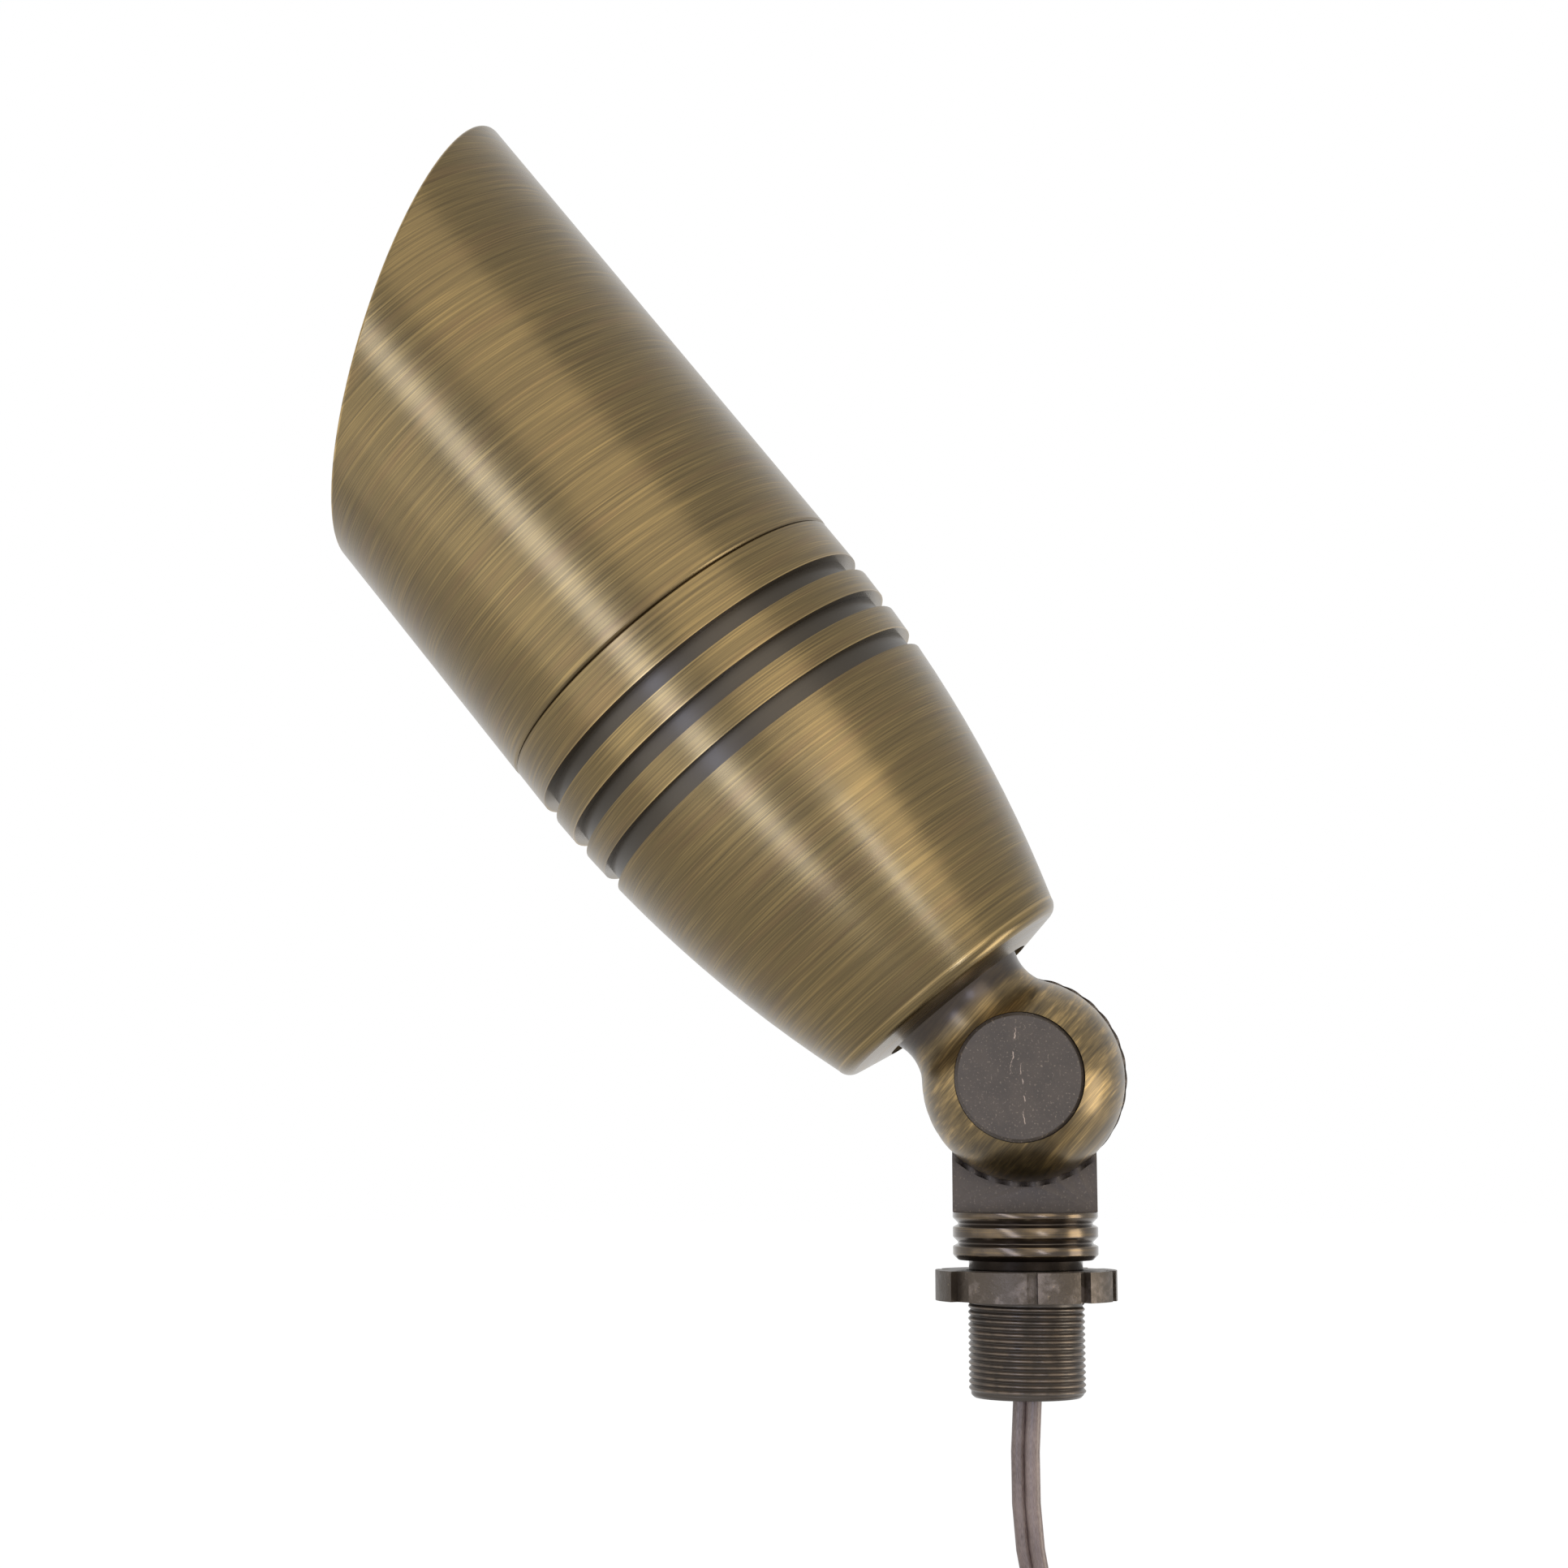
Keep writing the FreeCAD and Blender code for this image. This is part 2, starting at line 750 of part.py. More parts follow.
def make_pivot_cap():
    """Round cap over the screw, with a bevelled rim and a groove for its O-ring."""
    rim = d.cap_radius
    foot = -d.cap_seat - d.running_gap
    skirt = foot - d.cap_skirt
    groove_front = skirt - (d.cap_ring_section + d.running_gap) * 2
    corners = [
        (-d.cap_face, 0),
        (-d.cap_face, rim - d.cap_bevel),
        (d.cap_bevel - d.cap_face, rim),
        (groove_front, rim),
        (groove_front, d.cap_groove_floor),
        (skirt, d.cap_groove_floor),
        (skirt, rim),
        (foot, rim),
        (foot, 0),
    ]
    cap = turned_piece("pivot_cap", corners, axis="Y")
    move(cap, x=-d.cap_offset, z=d.hinge_height)
    return cap


def make_cap_o_ring():
    """O-ring that holds the cap in its counterbore."""
    section = d.cap_ring_section
    depth = -d.cap_seat - d.cap_skirt - section - d.running_gap * 2
    radius = d.cap_radius + d.running_gap - section
    seal = torus("cap_o_ring", radius, section, "Y")
    move(seal, x=-d.cap_offset, y=depth, z=d.hinge_height)
    return seal


# ---------------------------------------------------------------- housing


def make_rear_housing():
    """Turned shell: recessed back, rounded rim, ogive side with three grooves, and the shield's spigot."""
    body = new_body("rear_housing")
    hole = d.boss_radius + d.running_gap
    floor = d.neck_top
    gasket = d.neck_gasket_thickness + d.running_gap
    cavity_foot = floor + d.tail_thickness
    gasket_recess = d.neck_gasket_outer + d.running_gap
    corners = [
        (hole, floor + gasket),
        (gasket_recess, floor + gasket),
        (gasket_recess, floor),
        (d.recess_radius, floor),
        (d.recess_radius, d.back_height),
        (d.back_radius, d.back_rise),
        (d.rim_radius, d.rim_height),
        (d.body_radius, d.body_height),
        (d.body_radius, d.seam - d.edge_break),
        (d.body_radius - d.edge_break, d.seam),
        (d.spigot_radius, d.seam),
        (d.spigot_radius, d.spigot_top - d.edge_break * 2),
        (d.spigot_radius - d.edge_break * 2, d.spigot_top),
        (d.cavity_radius, d.spigot_top),
        (d.cavity_radius, d.cavity_shoulder),
        (d.cavity_tail_radius, cavity_foot),
        (hole, cavity_foot),
    ]
    arcs = {5: (d.rim_round, 1), 6: (d.ogive_radius, 1), 14: (d.cavity_ogive, -1)}
    turned(body, "shell_turning", "Revolution", corners, arcs)
    floor_radius = d.groove_floor_radius
    outside = d.body_radius + MARGIN
    foot = d.groove_foot
    section = rectangle(floor_radius, outside, foot, foot + d.groove_width)
    groove = turned(body, "groove", "Groove", section)
    repeated_along(body, "grooves", groove, d.groove_pitch * 2, 3)
    half = d.seal_section + d.running_gap
    seal_floor = d.spigot_radius - d.seal_section * 2 - d.running_gap
    seal = rectangle(seal_floor, d.spigot_radius + MARGIN, d.seal_height - half, d.seal_height + half)
    seal_groove = turned(body, "seal_groove", "Groove", seal)
    repeated_along(body, "seal_grooves", seal_groove, d.seal_pitch, 2)
    return tilt_with_head(body)


def rectangle(inner, outer, foot, top):
    """Corners of an upright rectangle."""
    return [(inner, foot), (outer, foot), (outer, top), (inner, top)]


def make_neck_gasket():
    """Flat gasket between the neck and the housing's recess."""
    inner = d.boss_radius + d.running_gap
    top = d.neck_top + d.neck_gasket_thickness
    return tilt_with_head(ring("neck_gasket", inner, d.neck_gasket_outer, d.neck_top, top))


def make_neck_lock_nut():
    """Hexagonal nut that clamps the bracket and the housing onto the neck's boss."""
    body = new_body("neck_lock_nut")
    foot = bracket_foot() + d.bracket_gauge
    sketch = new_sketch(body, "nut_outline", "XY_Plane", foot)
    draw_outline(sketch, hexagon(d.lock_nut_flats))
    extruded(body, "nut_blank", "Pad", sketch, d.lock_nut_height)
    bore = new_sketch(body, "bore_outline", "XY_Plane", foot + d.lock_nut_height)
    circle_outline(bore, d.boss_radius + d.running_gap)
    extruded(body, "bore", "Pocket", bore, d.lock_nut_height)
    return tilt_with_head(body)


def make_shield_o_rings():
    """Two O-rings on the spigot that hold and seal the glare shield."""
    radius = d.spigot_radius - d.seal_section
    lower = torus("lower_seal", radius, d.seal_section, z=d.seal_height)
    upper = torus("upper_seal", radius, d.seal_section, z=d.seal_height + d.seal_pitch)
    return tilt_with_head(group("shield_o_rings", [lower, upper]))


# ---------------------------------------------------------------- lamp and its holder


def bracket_foot():
    """Height of the housing's inner floor, where the bracket is clamped."""
    return d.neck_top + d.tail_thickness


def make_socket_bracket():
    """U-shaped strap: a base under the lock nut, two legs and two ears turned in under the socket."""
    foot = bracket_foot()
    gauge = d.bracket_gauge
    leg_height = d.socket_foot - foot
    width = d.bracket_width
    base = box("bracket_base", d.bracket_span, width, gauge, z=foot)
    leg_place = (d.bracket_span - gauge) / 2
    ear_place = (d.bracket_span - d.ear_length) / 2
    ear_foot = d.socket_foot - gauge
    parts = [base]
    for side in (-1, 1):
        leg = box(f"bracket_leg_{side}", gauge, width, leg_height, x=leg_place * side, z=foot)
        ear = box(f"bracket_ear_{side}", d.ear_length, width, gauge, x=ear_place * side, z=ear_foot)
        parts += [leg, ear]
    strap = fuse("bracket_strap", parts)
    through = gauge + MARGIN * 2
    tools = [cylinder("bracket_hole", d.boss_radius + d.running_gap, through, z=foot - MARGIN)]
    for side in (-1, 1):
        hole = cylinder(
            f"bracket_screw_hole_{side}",
            d.screw_hole_radius,
            through,
            x=d.socket_screw_spacing / 2 * side,
            z=ear_foot - MARGIN,
        )
        tools.append(hole)
    return tilt_with_head(cut("socket_bracket", strap, tools))


def make_lamp_socket():
    """Ceramic two-pin socket with a foot for its screws."""
    foot = d.socket_foot
    block = box("socket_block", d.socket_length, d.socket_width, d.socket_top - foot, z=foot)
    flange_length = d.socket_flange_length
    foot_plate = box("socket_flange", flange_length, d.socket_width, d.socket_flange_height, z=foot)
    pin_bore = d.pin_radius + d.running_gap * 2
    pin_foot = d.socket_top - d.pin_depth
    flange = d.socket_flange_height
    tools = []
    for side in (-1, 1):
        pin_x = d.pin_spacing / 2 * side
        screw_x = d.socket_screw_spacing / 2 * side
        tools.append(cylinder(f"pin_hole_{side}", pin_bore, d.pin_depth, x=pin_x, z=pin_foot))
        tools.append(cylinder(f"flange_hole_{side}", d.screw_hole_radius, flange, x=screw_x, z=foot))
    return tilt_with_head(cut("lamp_socket", fuse("socket_body", [block, foot_plate]), tools))


def make_socket_screws():
    """Two pan-head screws through the socket's foot and the bracket's ears."""
    head_foot = d.socket_foot + d.socket_flange_height
    length = d.socket_flange_height + d.bracket_gauge + d.small_screw_tail
    screws = []
    for side in (-1, 1):
        place = d.socket_screw_spacing / 2 * side
        shank_foot = head_foot - length
        shank = cylinder(f"screw_shank_{side}", d.small_screw_radius, length, x=place, z=shank_foot)
        head = cylinder(f"screw_head_{side}", d.small_head_radius, d.small_head_height, x=place, z=head_foot)
        screws.append(fuse(f"socket_screw_{side}", [shank, head]))
    return tilt_with_head(group("socket_screws", screws))


def make_socket_leads():
    """Two insulated leads from the socket through the boss into the knuckle."""
    foot = d.screw_bore_radius + d.lead_end_gap
    leads = []
    for side in (-1, 1):
        lead = cylinder(
            f"socket_lead_{side}",
            d.lead_radius,
            d.socket_foot - foot,
            x=d.lead_spacing / 2 * side,
            y=-d.head_wireway_offset,
            z=foot,
        )
        leads.append(lead)
    return tilt_with_head(group("socket_leads", leads))


def make_lamp_pins():
    """The lamp's two contact pins."""
    foot = d.socket_top - d.pin_depth + d.pin_end_gap
    pins = []
    for side in (-1, 1):
        place = d.pin_spacing / 2 * side
        pins.append(cylinder(f"lamp_pin_{side}", d.pin_radius, d.lamp_base_foot - foot, x=place, z=foot))
    return tilt_with_head(group("lamp_pins", pins))


def make_lamp_base():
    """Ceramic block that joins the lamp's pins to its reflector, with bevelled ends."""
    half_length = d.lamp_base_length / 2
    half_width = d.lamp_base_width / 2
    bevel = d.lamp_base_bevel
    corners = [
        (bevel - half_length, -half_width),
        (half_length - bevel, -half_width),
        (half_length, bevel - half_width),
        (half_length, half_width - bevel),
        (half_length - bevel, half_width),
        (bevel - half_length, half_width),
        (-half_length, half_width - bevel),
        (-half_length, bevel - half_width),
    ]
    body = new_body("lamp_base")
    sketch = new_sketch(body, "lamp_base_outline", "XY_Plane", d.lamp_base_foot)
    draw_outline(sketch, corners)
    extruded(body, "lamp_base_block", "Pad", sketch, d.lamp_neck_foot - d.lamp_base_foot)
    return tilt_with_head(body)


def make_lamp_reflector():
    """Bowl-shaped reflector with a rim, open at its neck for the capsule."""
    wall = d.reflector_wall
    rim = d.lamp_rim_radius
    bowl = rim - d.reflector_step
    neck = d.reflector_neck_radius
    corners = [
        (neck, d.lamp_neck_foot),
        (bowl, d.lamp_rim_foot),
        (rim, d.lamp_rim_foot),
        (rim, d.lamp_rim_top),
        (bowl - wall, d.lamp_rim_top),
        (neck - wall, d.lamp_neck_foot + wall),
        (neck - wall, d.lamp_neck_foot),
    ]
    arcs = {0: (d.reflector_curve, 1), 4: (d.reflector_curve - wall, -1)}
    return tilt_with_head(turned_piece("lamp_reflector", corners, arcs))


def make_lamp_capsule():
    """Quartz capsule in the reflector's focus, with a domed end."""
    radius = d.capsule_radius
    foot = d.lamp_neck_foot
    shoulder = d.capsule_top - radius
    corners = [(0, foot), (radius, foot), (radius, shoulder), (0, d.capsule_top)]
    return tilt_with_head(turned_piece("lamp_capsule", corners, {2: (radius, 1)}))


def make_lamp_cover_glass():
    """Thin glass over the reflector's mouth."""
    top = d.lamp_rim_top + d.cover_glass_thickness
    outline = rectangle(0, d.lamp_rim_radius, d.lamp_rim_top, top)
    return tilt_with_head(turned_piece("lamp_cover_glass", outline))


def make_lamp_seat_ring():
    """Ring that centres the lamp's rim in the housing's bore."""
    seat = ring(
        "lamp_seat_ring",
        d.lamp_seat_inner,
        d.cavity_radius - d.running_gap,
        d.lamp_seat_foot,
        d.lamp_rim_foot,
    )
    return tilt_with_head(seat)


# ---------------------------------------------------------------- lens and shield


def make_lens_retaining_ring():
    """Ring that holds the lens from behind, with two spanner slots."""
    top = d.lens_foot
    blank = ring("retainer_blank", d.retainer_inner, d.retainer_outer, d.retainer_foot, top)
    depth = d.spanner_slot_depth + MARGIN
    tools = []
    for side in (-1, 1):
        slot = box(
            f"spanner_slot_{side}",
            d.spanner_slot_width * 2,
            d.spanner_slot_width,
            depth,
            x=d.lip_radius * side,
            z=d.retainer_foot - MARGIN,
        )
        tools.append(slot)
    return tilt_with_head(cut("lens_retaining_ring", blank, tools))


def make_lens():
    """Flat tempered lens with broken edges."""
    chamfer = d.edge_break
    top = d.lens_foot + d.lens_thickness
    corners = [
        (0, d.lens_foot),
        (d.lens_radius - chamfer, d.lens_foot),
        (d.lens_radius, d.lens_foot + chamfer),
        (d.lens_radius, top - chamfer),
        (d.lens_radius - chamfer, top),
        (0, top),
    ]
    return tilt_with_head(turned_piece("lens", corners))


def make_lens_gasket():
    """Soft ring between the lens and the shield's lip."""
    foot = d.lens_foot + d.lens_thickness
    gasket = ring("lens_gasket", d.gasket_inner, d.lens_radius, foot, foot + d.gasket_thickness)
    return tilt_with_head(gasket)


def make_glare_shield():
    """Long tube with a lip for the lens, its mouth cut on a slant and its rim rounded."""
    body = new_body("glare_shield")
    outer = d.shield_radius
    seat = d.spigot_radius + d.running_gap
    lip_top = d.lip_foot + d.lip_thickness
    top = d.cut_height + outer
    corners = [
        (seat, d.seam),
        (outer - d.edge_break, d.seam),
        (outer, d.seam + d.edge_break),
        (outer, top),
        (d.shield_bore, top),
        (d.shield_bore, lip_top),
        (d.lip_radius, lip_top),
        (d.lip_radius, d.lip_foot),
        (seat, d.lip_foot),
    ]
    turned(body, "tube_turning", "Revolution", corners)
    slant = new_sketch(body, "slant_outline", "XZ_Plane")
    side = outer + MARGIN
    rise = d.cut_slope * side
    above = top + MARGIN
    corners = [
        (-side, d.cut_height - rise),
        (side, d.cut_height + rise),
        (side, above),
        (-side, above),
    ]
    draw_outline(slant, corners)
    slant_cut = extruded(body, "slant_cut", "Pocket", slant, side * 2, side="Symmetric")
    doc.recompute()
    rims = [
        f"Edge{number}"
        for number, edge in enumerate(slant_cut.Shape.Edges, start=1)
        if edge.Curve.TypeId == "Part::GeomEllipse"
    ]
    rounding = body.newObject("PartDesign::Fillet", "rim_rounding")
    rounding.Base = (slant_cut, rims)
    bind(rounding, Radius=d.rim_fillet)
    return tilt_with_head(body)


# ---------------------------------------------------------------- cord


def bend_radius(before, after, turn):
    """Radius of the arc that joins two runs of a cord."""
    return BEND_SHARE * min(before, after) / math.tan(turn / 2)


def cord_path(points):
    """Wire of straight runs joined by tangent arcs."""
    edges = []
    start = points[0]
    for before, corner, after in zip(points, points[1:], points[2:]):
        inward = (before - corner).normalize()
        outward = (after - corner).normalize()
        turn = math.pi - inward.getAngle(outward)
        radius = bend_radius((corner - before).Length, (after - corner).Length, turn)
        print(f"cord bend radius {radius:.1f} mm")
        trim = radius * math.tan(turn / 2)
        first = corner + inward * trim
        last = corner + outward * trim
        bisector = (inward + outward).normalize()
        middle = corner + bisector * (radius / math.cos(turn / 2) - radius)
        edges.append(Part.LineSegment(start, first).toShape())
        edges.append(Part.Arc(first, middle, last).toShape())
        start = last
    edges.append(Part.LineSegment(start, points[-1]).toShape())
    return Part.Wire(edges)


def cord_points():
    """The cord's route: straight down from the nipple, then level on the floor."""
    floor = -(d.cord_start + d.cord_drop).value
    return [
        Vector(0, 0, -d.cord_start.value),
        Vector(0, 0, floor),
        Vector(d.cord_reach.value, 0, floor),
    ]


def make_power_cable():
    """Stretch of cord from the nipple down to the floor."""
    radius = d.cord_width.value / 2
    path = cord_path(cord_points())
    section = Part.Wire(Part.Circle(path.Vertexes[0].Point, Vector(0, 0, 1), radius).toShape())
    tube = path.makePipeShell([section], True, True)
    expected = math.pi * radius**2 * path.Length
    print(f"cord volume {tube.Volume:.0f} mm3, section times length {expected:.0f} mm3")
    piece = doc.addObject("Part::Feature", "power_cable")
    piece.Shape = tube
    return piece


def make_cable_coil():
    """Outer shape of the wound cord, with the straight run that leads into it."""
    radius = d.cord_width / 2
    level = -d.cord_start - d.cord_drop
    floor = level - radius
    centre_x = d.cord_reach + d.coil_run_in
    centre_y = radius - d.coil_outer
    whole = cylinder("coil_outside", d.coil_outer, d.coil_height, x=centre_x, y=centre_y, z=floor)
    hollow = cylinder("coil_inside", d.coil_inner, d.coil_height, x=centre_x, y=centre_y, z=floor)
    wound = cut("coil_ring", whole, [hollow])
    run_in = cylinder("coil_run_in", radius, d.coil_run_in, "X", x=d.cord_reach, z=level)
    return fuse("cable_coil", [wound, run_in])


# ---------------------------------------------------------------- assembly

PIECES = [
    make_knuckle_stem(),
    make_locknut(),
    make_cable_bushing(),
    make_supply_leads(),
    make_knuckle_o_ring(),
    make_knuckle_head(),
    make_pivot_screw(),
    make_pivot_washer(),
    make_pivot_cap(),
    make_cap_o_ring(),
    make_rear_housing(),
    make_neck_gasket(),
    make_neck_lock_nut(),
    make_shield_o_rings(),
    make_socket_bracket(),
    make_lamp_socket(),
    make_socket_screws(),
    make_socket_leads(),
    make_lamp_pins(),
    make_lamp_base(),
    make_lamp_reflector(),
    make_lamp_capsule(),
    make_lamp_cover_glass(),
    make_lamp_seat_ring(),
    make_lens_retaining_ring(),
    make_lens(),
    make_lens_gasket(),
    make_glare_shield(),
    make_power_cable(),
    make_cable_coil(),
]

doc.recompute()


def check_document():
    """Stop if any object failed or any piece has no sound shape."""
    for thing in doc.Objects:
        if {"Invalid", "Error"} & set(thing.State):
            raise RuntimeError(f"{thing.Label} failed: {thing.State}")
    for piece in PIECES:
        if piece.Shape.isNull() or not piece.Shape.isValid():
            raise RuntimeError(f"{piece.Label} has no valid shape")


def write_pieces():
    """Write each piece to parts/ under its own name."""
    os.makedirs("parts", exist_ok=True)
    for piece in PIECES:
        piece.Shape.exportStep(f"parts/{piece.Label}.step")
        solids = len(piece.Shape.Solids)
        print(f"{piece.Label}: {solids} solid(s), {piece.Shape.Volume:.0f} mm3")


check_document()
write_pieces()
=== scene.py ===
"""Landscape spotlight, dressed: bronze finishes, turned stem, thread, lamp, cord and a studio."""

import logging
import math
from dataclasses import dataclass, field
from enum import Enum
from typing import Sequence

import bpy
from mathutils import Matrix, Vector


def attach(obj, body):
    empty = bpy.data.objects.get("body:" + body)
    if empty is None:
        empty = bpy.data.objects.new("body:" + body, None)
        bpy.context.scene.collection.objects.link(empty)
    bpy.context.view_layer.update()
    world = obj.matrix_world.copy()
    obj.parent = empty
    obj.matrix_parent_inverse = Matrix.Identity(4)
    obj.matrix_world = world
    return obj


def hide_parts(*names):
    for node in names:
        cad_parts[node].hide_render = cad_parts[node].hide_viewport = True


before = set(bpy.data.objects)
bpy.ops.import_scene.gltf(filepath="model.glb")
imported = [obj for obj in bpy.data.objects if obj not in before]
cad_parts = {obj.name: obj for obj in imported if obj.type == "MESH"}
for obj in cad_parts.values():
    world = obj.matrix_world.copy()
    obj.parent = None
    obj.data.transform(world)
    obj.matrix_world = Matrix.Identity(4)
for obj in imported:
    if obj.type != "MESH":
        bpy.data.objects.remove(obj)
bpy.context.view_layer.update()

log = logging.getLogger("spotlight")

Colour = tuple[float, float, float]
Point = tuple[float, float]
Fade = tuple[float, float]
Piece = bpy.types.Object
Material = bpy.types.Material

MM = 0.001
HINGE = Vector((0.0, 0.0, 37.6 * MM))
REST_TILT = math.radians(38.7)
HEAD_AXIS = Vector((-math.sin(REST_TILT), 0.0, math.cos(REST_TILT)))
HEAD_SIDE = Vector((math.cos(REST_TILT), 0.0, math.sin(REST_TILT)))
HEAD_TO_ROW = Matrix.Translation(HINGE) @ Matrix.Rotation(-REST_TILT, 4, "Y")
UPWARDS = Vector((0.0, 0.0, 1.0))
TOWARDS_CAMERA = Vector((0.0, -1.0, 0.0))
FLOOR_HEIGHT = -68.3 * MM
OUTLINE_WELD = 0.0001 * MM
SPIN_WELD = 0.0002 * MM
WATTS_PER_RADIANCE = 4.0


# ---- shader graph


@dataclass(frozen=True)
class Pattern:
    """A noise pattern: waves per unit, the same or one for each axis, its finer layers and their weight."""

    waves: float | tuple[float, float, float]
    layers: float = 3.0
    weight: float = 0.60


class Signal:
    """A shader socket that can be used in arithmetic."""

    def __init__(self, graph: "Graph", socket: bpy.types.NodeSocket) -> None:
        """Keep the socket and the graph it belongs to."""
        self.graph = graph
        self.socket = socket

    def __add__(self, other: "Signal | float") -> "Signal":
        """Sum of two signals."""
        return self.graph.math("ADD", self, other)

    def __radd__(self, other: float) -> "Signal":
        """Sum with the number first."""
        return self.graph.math("ADD", other, self)

    def __sub__(self, other: "Signal | float") -> "Signal":
        """Difference of two signals."""
        return self.graph.math("SUBTRACT", self, other)

    def __rsub__(self, other: float) -> "Signal":
        """Difference with the number first."""
        return self.graph.math("SUBTRACT", other, self)

    def __mul__(self, other: "Signal | float") -> "Signal":
        """Product of two signals."""
        return self.graph.math("MULTIPLY", self, other)

    def __gt__(self, other: "Signal | float") -> "Signal":
        """One where this signal is the larger."""
        return self.graph.math("GREATER_THAN", self, other)

    def __lt__(self, other: "Signal | float") -> "Signal":
        """One where this signal is the smaller."""
        return self.graph.math("LESS_THAN", self, other)


class Graph:
    """A graph of shader nodes."""

    def __init__(self, tree: bpy.types.NodeTree) -> None:
        """Keep the tree that the nodes are added to."""
        self.tree = tree

    def feed(self, socket: bpy.types.NodeSocket, value: object) -> None:
        """Link a signal to a socket, or set the socket's own value.

        Args:
            socket: The input to feed.
            value: A signal, a number, or a sequence of numbers.
        """
        if isinstance(value, Signal):
            self.tree.links.new(value.socket, socket)
        elif isinstance(value, (int, float)) and not hasattr(socket.default_value, "__len__"):
            socket.default_value = value
        else:
            numbers = tuple(value)
            missing = len(socket.default_value) - len(numbers)
            socket.default_value = numbers + (1.0,) * missing

    def node(
        self,
        kind: str,
        settings: dict[str, object] | None = None,
        sockets: dict[str | int, object] | None = None,
        output: str | int = 0,
    ) -> Signal:
        """Add a node, set it up and feed it.

        Args:
            kind: The node's type without its ShaderNode prefix.
            settings: Attributes to set first.
            sockets: Values or signals for the node's inputs.
            output: The output to hand back.

        Returns:
            The chosen output.
        """
        made = self.tree.nodes.new("ShaderNode" + kind)
        for name, value in (settings or {}).items():
            setattr(made, name, value)
        for name, value in (sockets or {}).items():
            self.feed(made.inputs[name], value)
        return Signal(self, made.outputs[output])

    def math(self, operation: str, *values: "Signal | float") -> Signal:
        """Result of a Math node, with its inputs in order."""
        return self.node("Math", {"operation": operation}, dict(enumerate(values)))

    def blend(self, factor: "Signal | float", low: object, high: object) -> Signal:
        """Mix of two colours: the first where the factor is 0, the second where it is 1."""
        settings = {"data_type": "RGBA", "clamp_factor": True}
        return self.node("Mix", settings, {0: factor, 6: low, 7: high}, output=2)

    def smooth(self, value: Signal, low: float, high: float) -> Signal:
        """Soft ramp from 0 at low to 1 at high."""
        settings = {"interpolation_type": "SMOOTHSTEP", "clamp": True}
        return self.node("MapRange", settings, {0: value, 1: low, 2: high, 3: 0.0, 4: 1.0})

    def band(self, value: Signal, centre: float, half: float, soft: float) -> Signal:
        """One within half of the centre, fading to 0 over the soft width."""
        away = self.math("ABSOLUTE", value - centre)
        return 1.0 - self.smooth(away, half, half + soft)

    def place(self, turn: float = 0.0, shift: Vector | None = None) -> Signal:
        """Position on the object, turned about +Y by an angle and then shifted."""
        moves = {"Location": shift or Vector(), "Rotation": (0.0, turn, 0.0)}
        return self.node("Mapping", sockets={"Vector": self.node("TexCoord", output="Object"), **moves})

    def head_place(self) -> Signal:
        """Position in the head's own frame, whose Z runs along the lamp's axis."""
        shift = -(Matrix.Rotation(REST_TILT, 3, "Y") @ HINGE)
        return self.place(REST_TILT, shift)

    def split(self, vector: Signal) -> tuple[Signal, Signal, Signal]:
        """The three parts of a vector."""
        outputs = self.node("SeparateXYZ", sockets={0: vector}).socket.node.outputs
        return tuple(Signal(self, outputs[number]) for number in range(3))

    def around(self, vector: Signal) -> tuple[Signal, Signal, Signal]:
        """A vector's X, its distance from the Z axis, and its Z."""
        x, y, z = self.split(vector)
        return x, self.math("SQRT", x * x + y * y), z

    def noise(self, vector: Signal, pattern: Pattern) -> Signal:
        """Soft noise from 0 to 1.

        Args:
            vector: Where it is read.
            pattern: Its waves and layers.

        Returns:
            The noise's strength.
        """
        scale = pattern.waves
        if isinstance(scale, tuple):
            vector = self.node("VectorMath", {"operation": "MULTIPLY"}, {0: vector, 1: scale})
            scale = 1.0
        sockets = {"Vector": vector, "Scale": scale, "Detail": pattern.layers, "Roughness": pattern.weight}
        return self.node("TexNoise", {"noise_dimensions": "3D"}, sockets)

    def bump(self, height: Signal, distance: float, strength: float, **under: Signal) -> Signal:
        """Normal of a height that is the distance at 1; Normal=... gives the normal under it."""
        sockets = {"Height": height, "Distance": distance, "Strength": strength, **under}
        return self.node("Bump", sockets=sockets, output="Normal")

    def mottled(self, cloud: Signal, colour: Colour, swing: float) -> Signal:
        """A colour made darker and paler by a share of itself, as the cloud goes."""
        low, high = (tuple(min(1.0, share * part) for part in colour) for share in (1.0 - swing, 1.0 + swing))
        return self.blend(self.smooth(cloud, 0.3, 0.7), low, high)

    def seen(self) -> Signal:
        """Tell the rays that see the background from those that carry light.

        Returns:
            One for camera, glossy and transmission rays.
        """
        total = self.node("LightPath", output="Is Camera Ray")
        outputs = total.socket.node.outputs
        for name in ("Is Glossy Ray", "Is Transmission Ray"):
            total = self.math("MAXIMUM", total, Signal(self, outputs[name]))
        return total


class Surface(Graph):
    """The graph of one material, with one Principled shader."""

    def __init__(self, name: str) -> None:
        """Start the material.

        Args:
            name: The material's name.
        """
        self.material = bpy.data.materials.new(name)
        self.material.use_nodes = True
        super().__init__(self.material.node_tree)
        self.tree.nodes.clear()
        self.output = self.tree.nodes.new("ShaderNodeOutputMaterial").inputs["Surface"]
        self.shader = self.tree.nodes.new("ShaderNodeBsdfPrincipled")
        self.tree.links.new(self.shader.outputs[0], self.output)

    def set(self, **values: object) -> None:
        """Feed the shader's own sockets; an underscore stands for a space."""
        for name, value in values.items():
            self.feed(self.shader.inputs[name.replace("_", " ")], value)


# ---- finishes


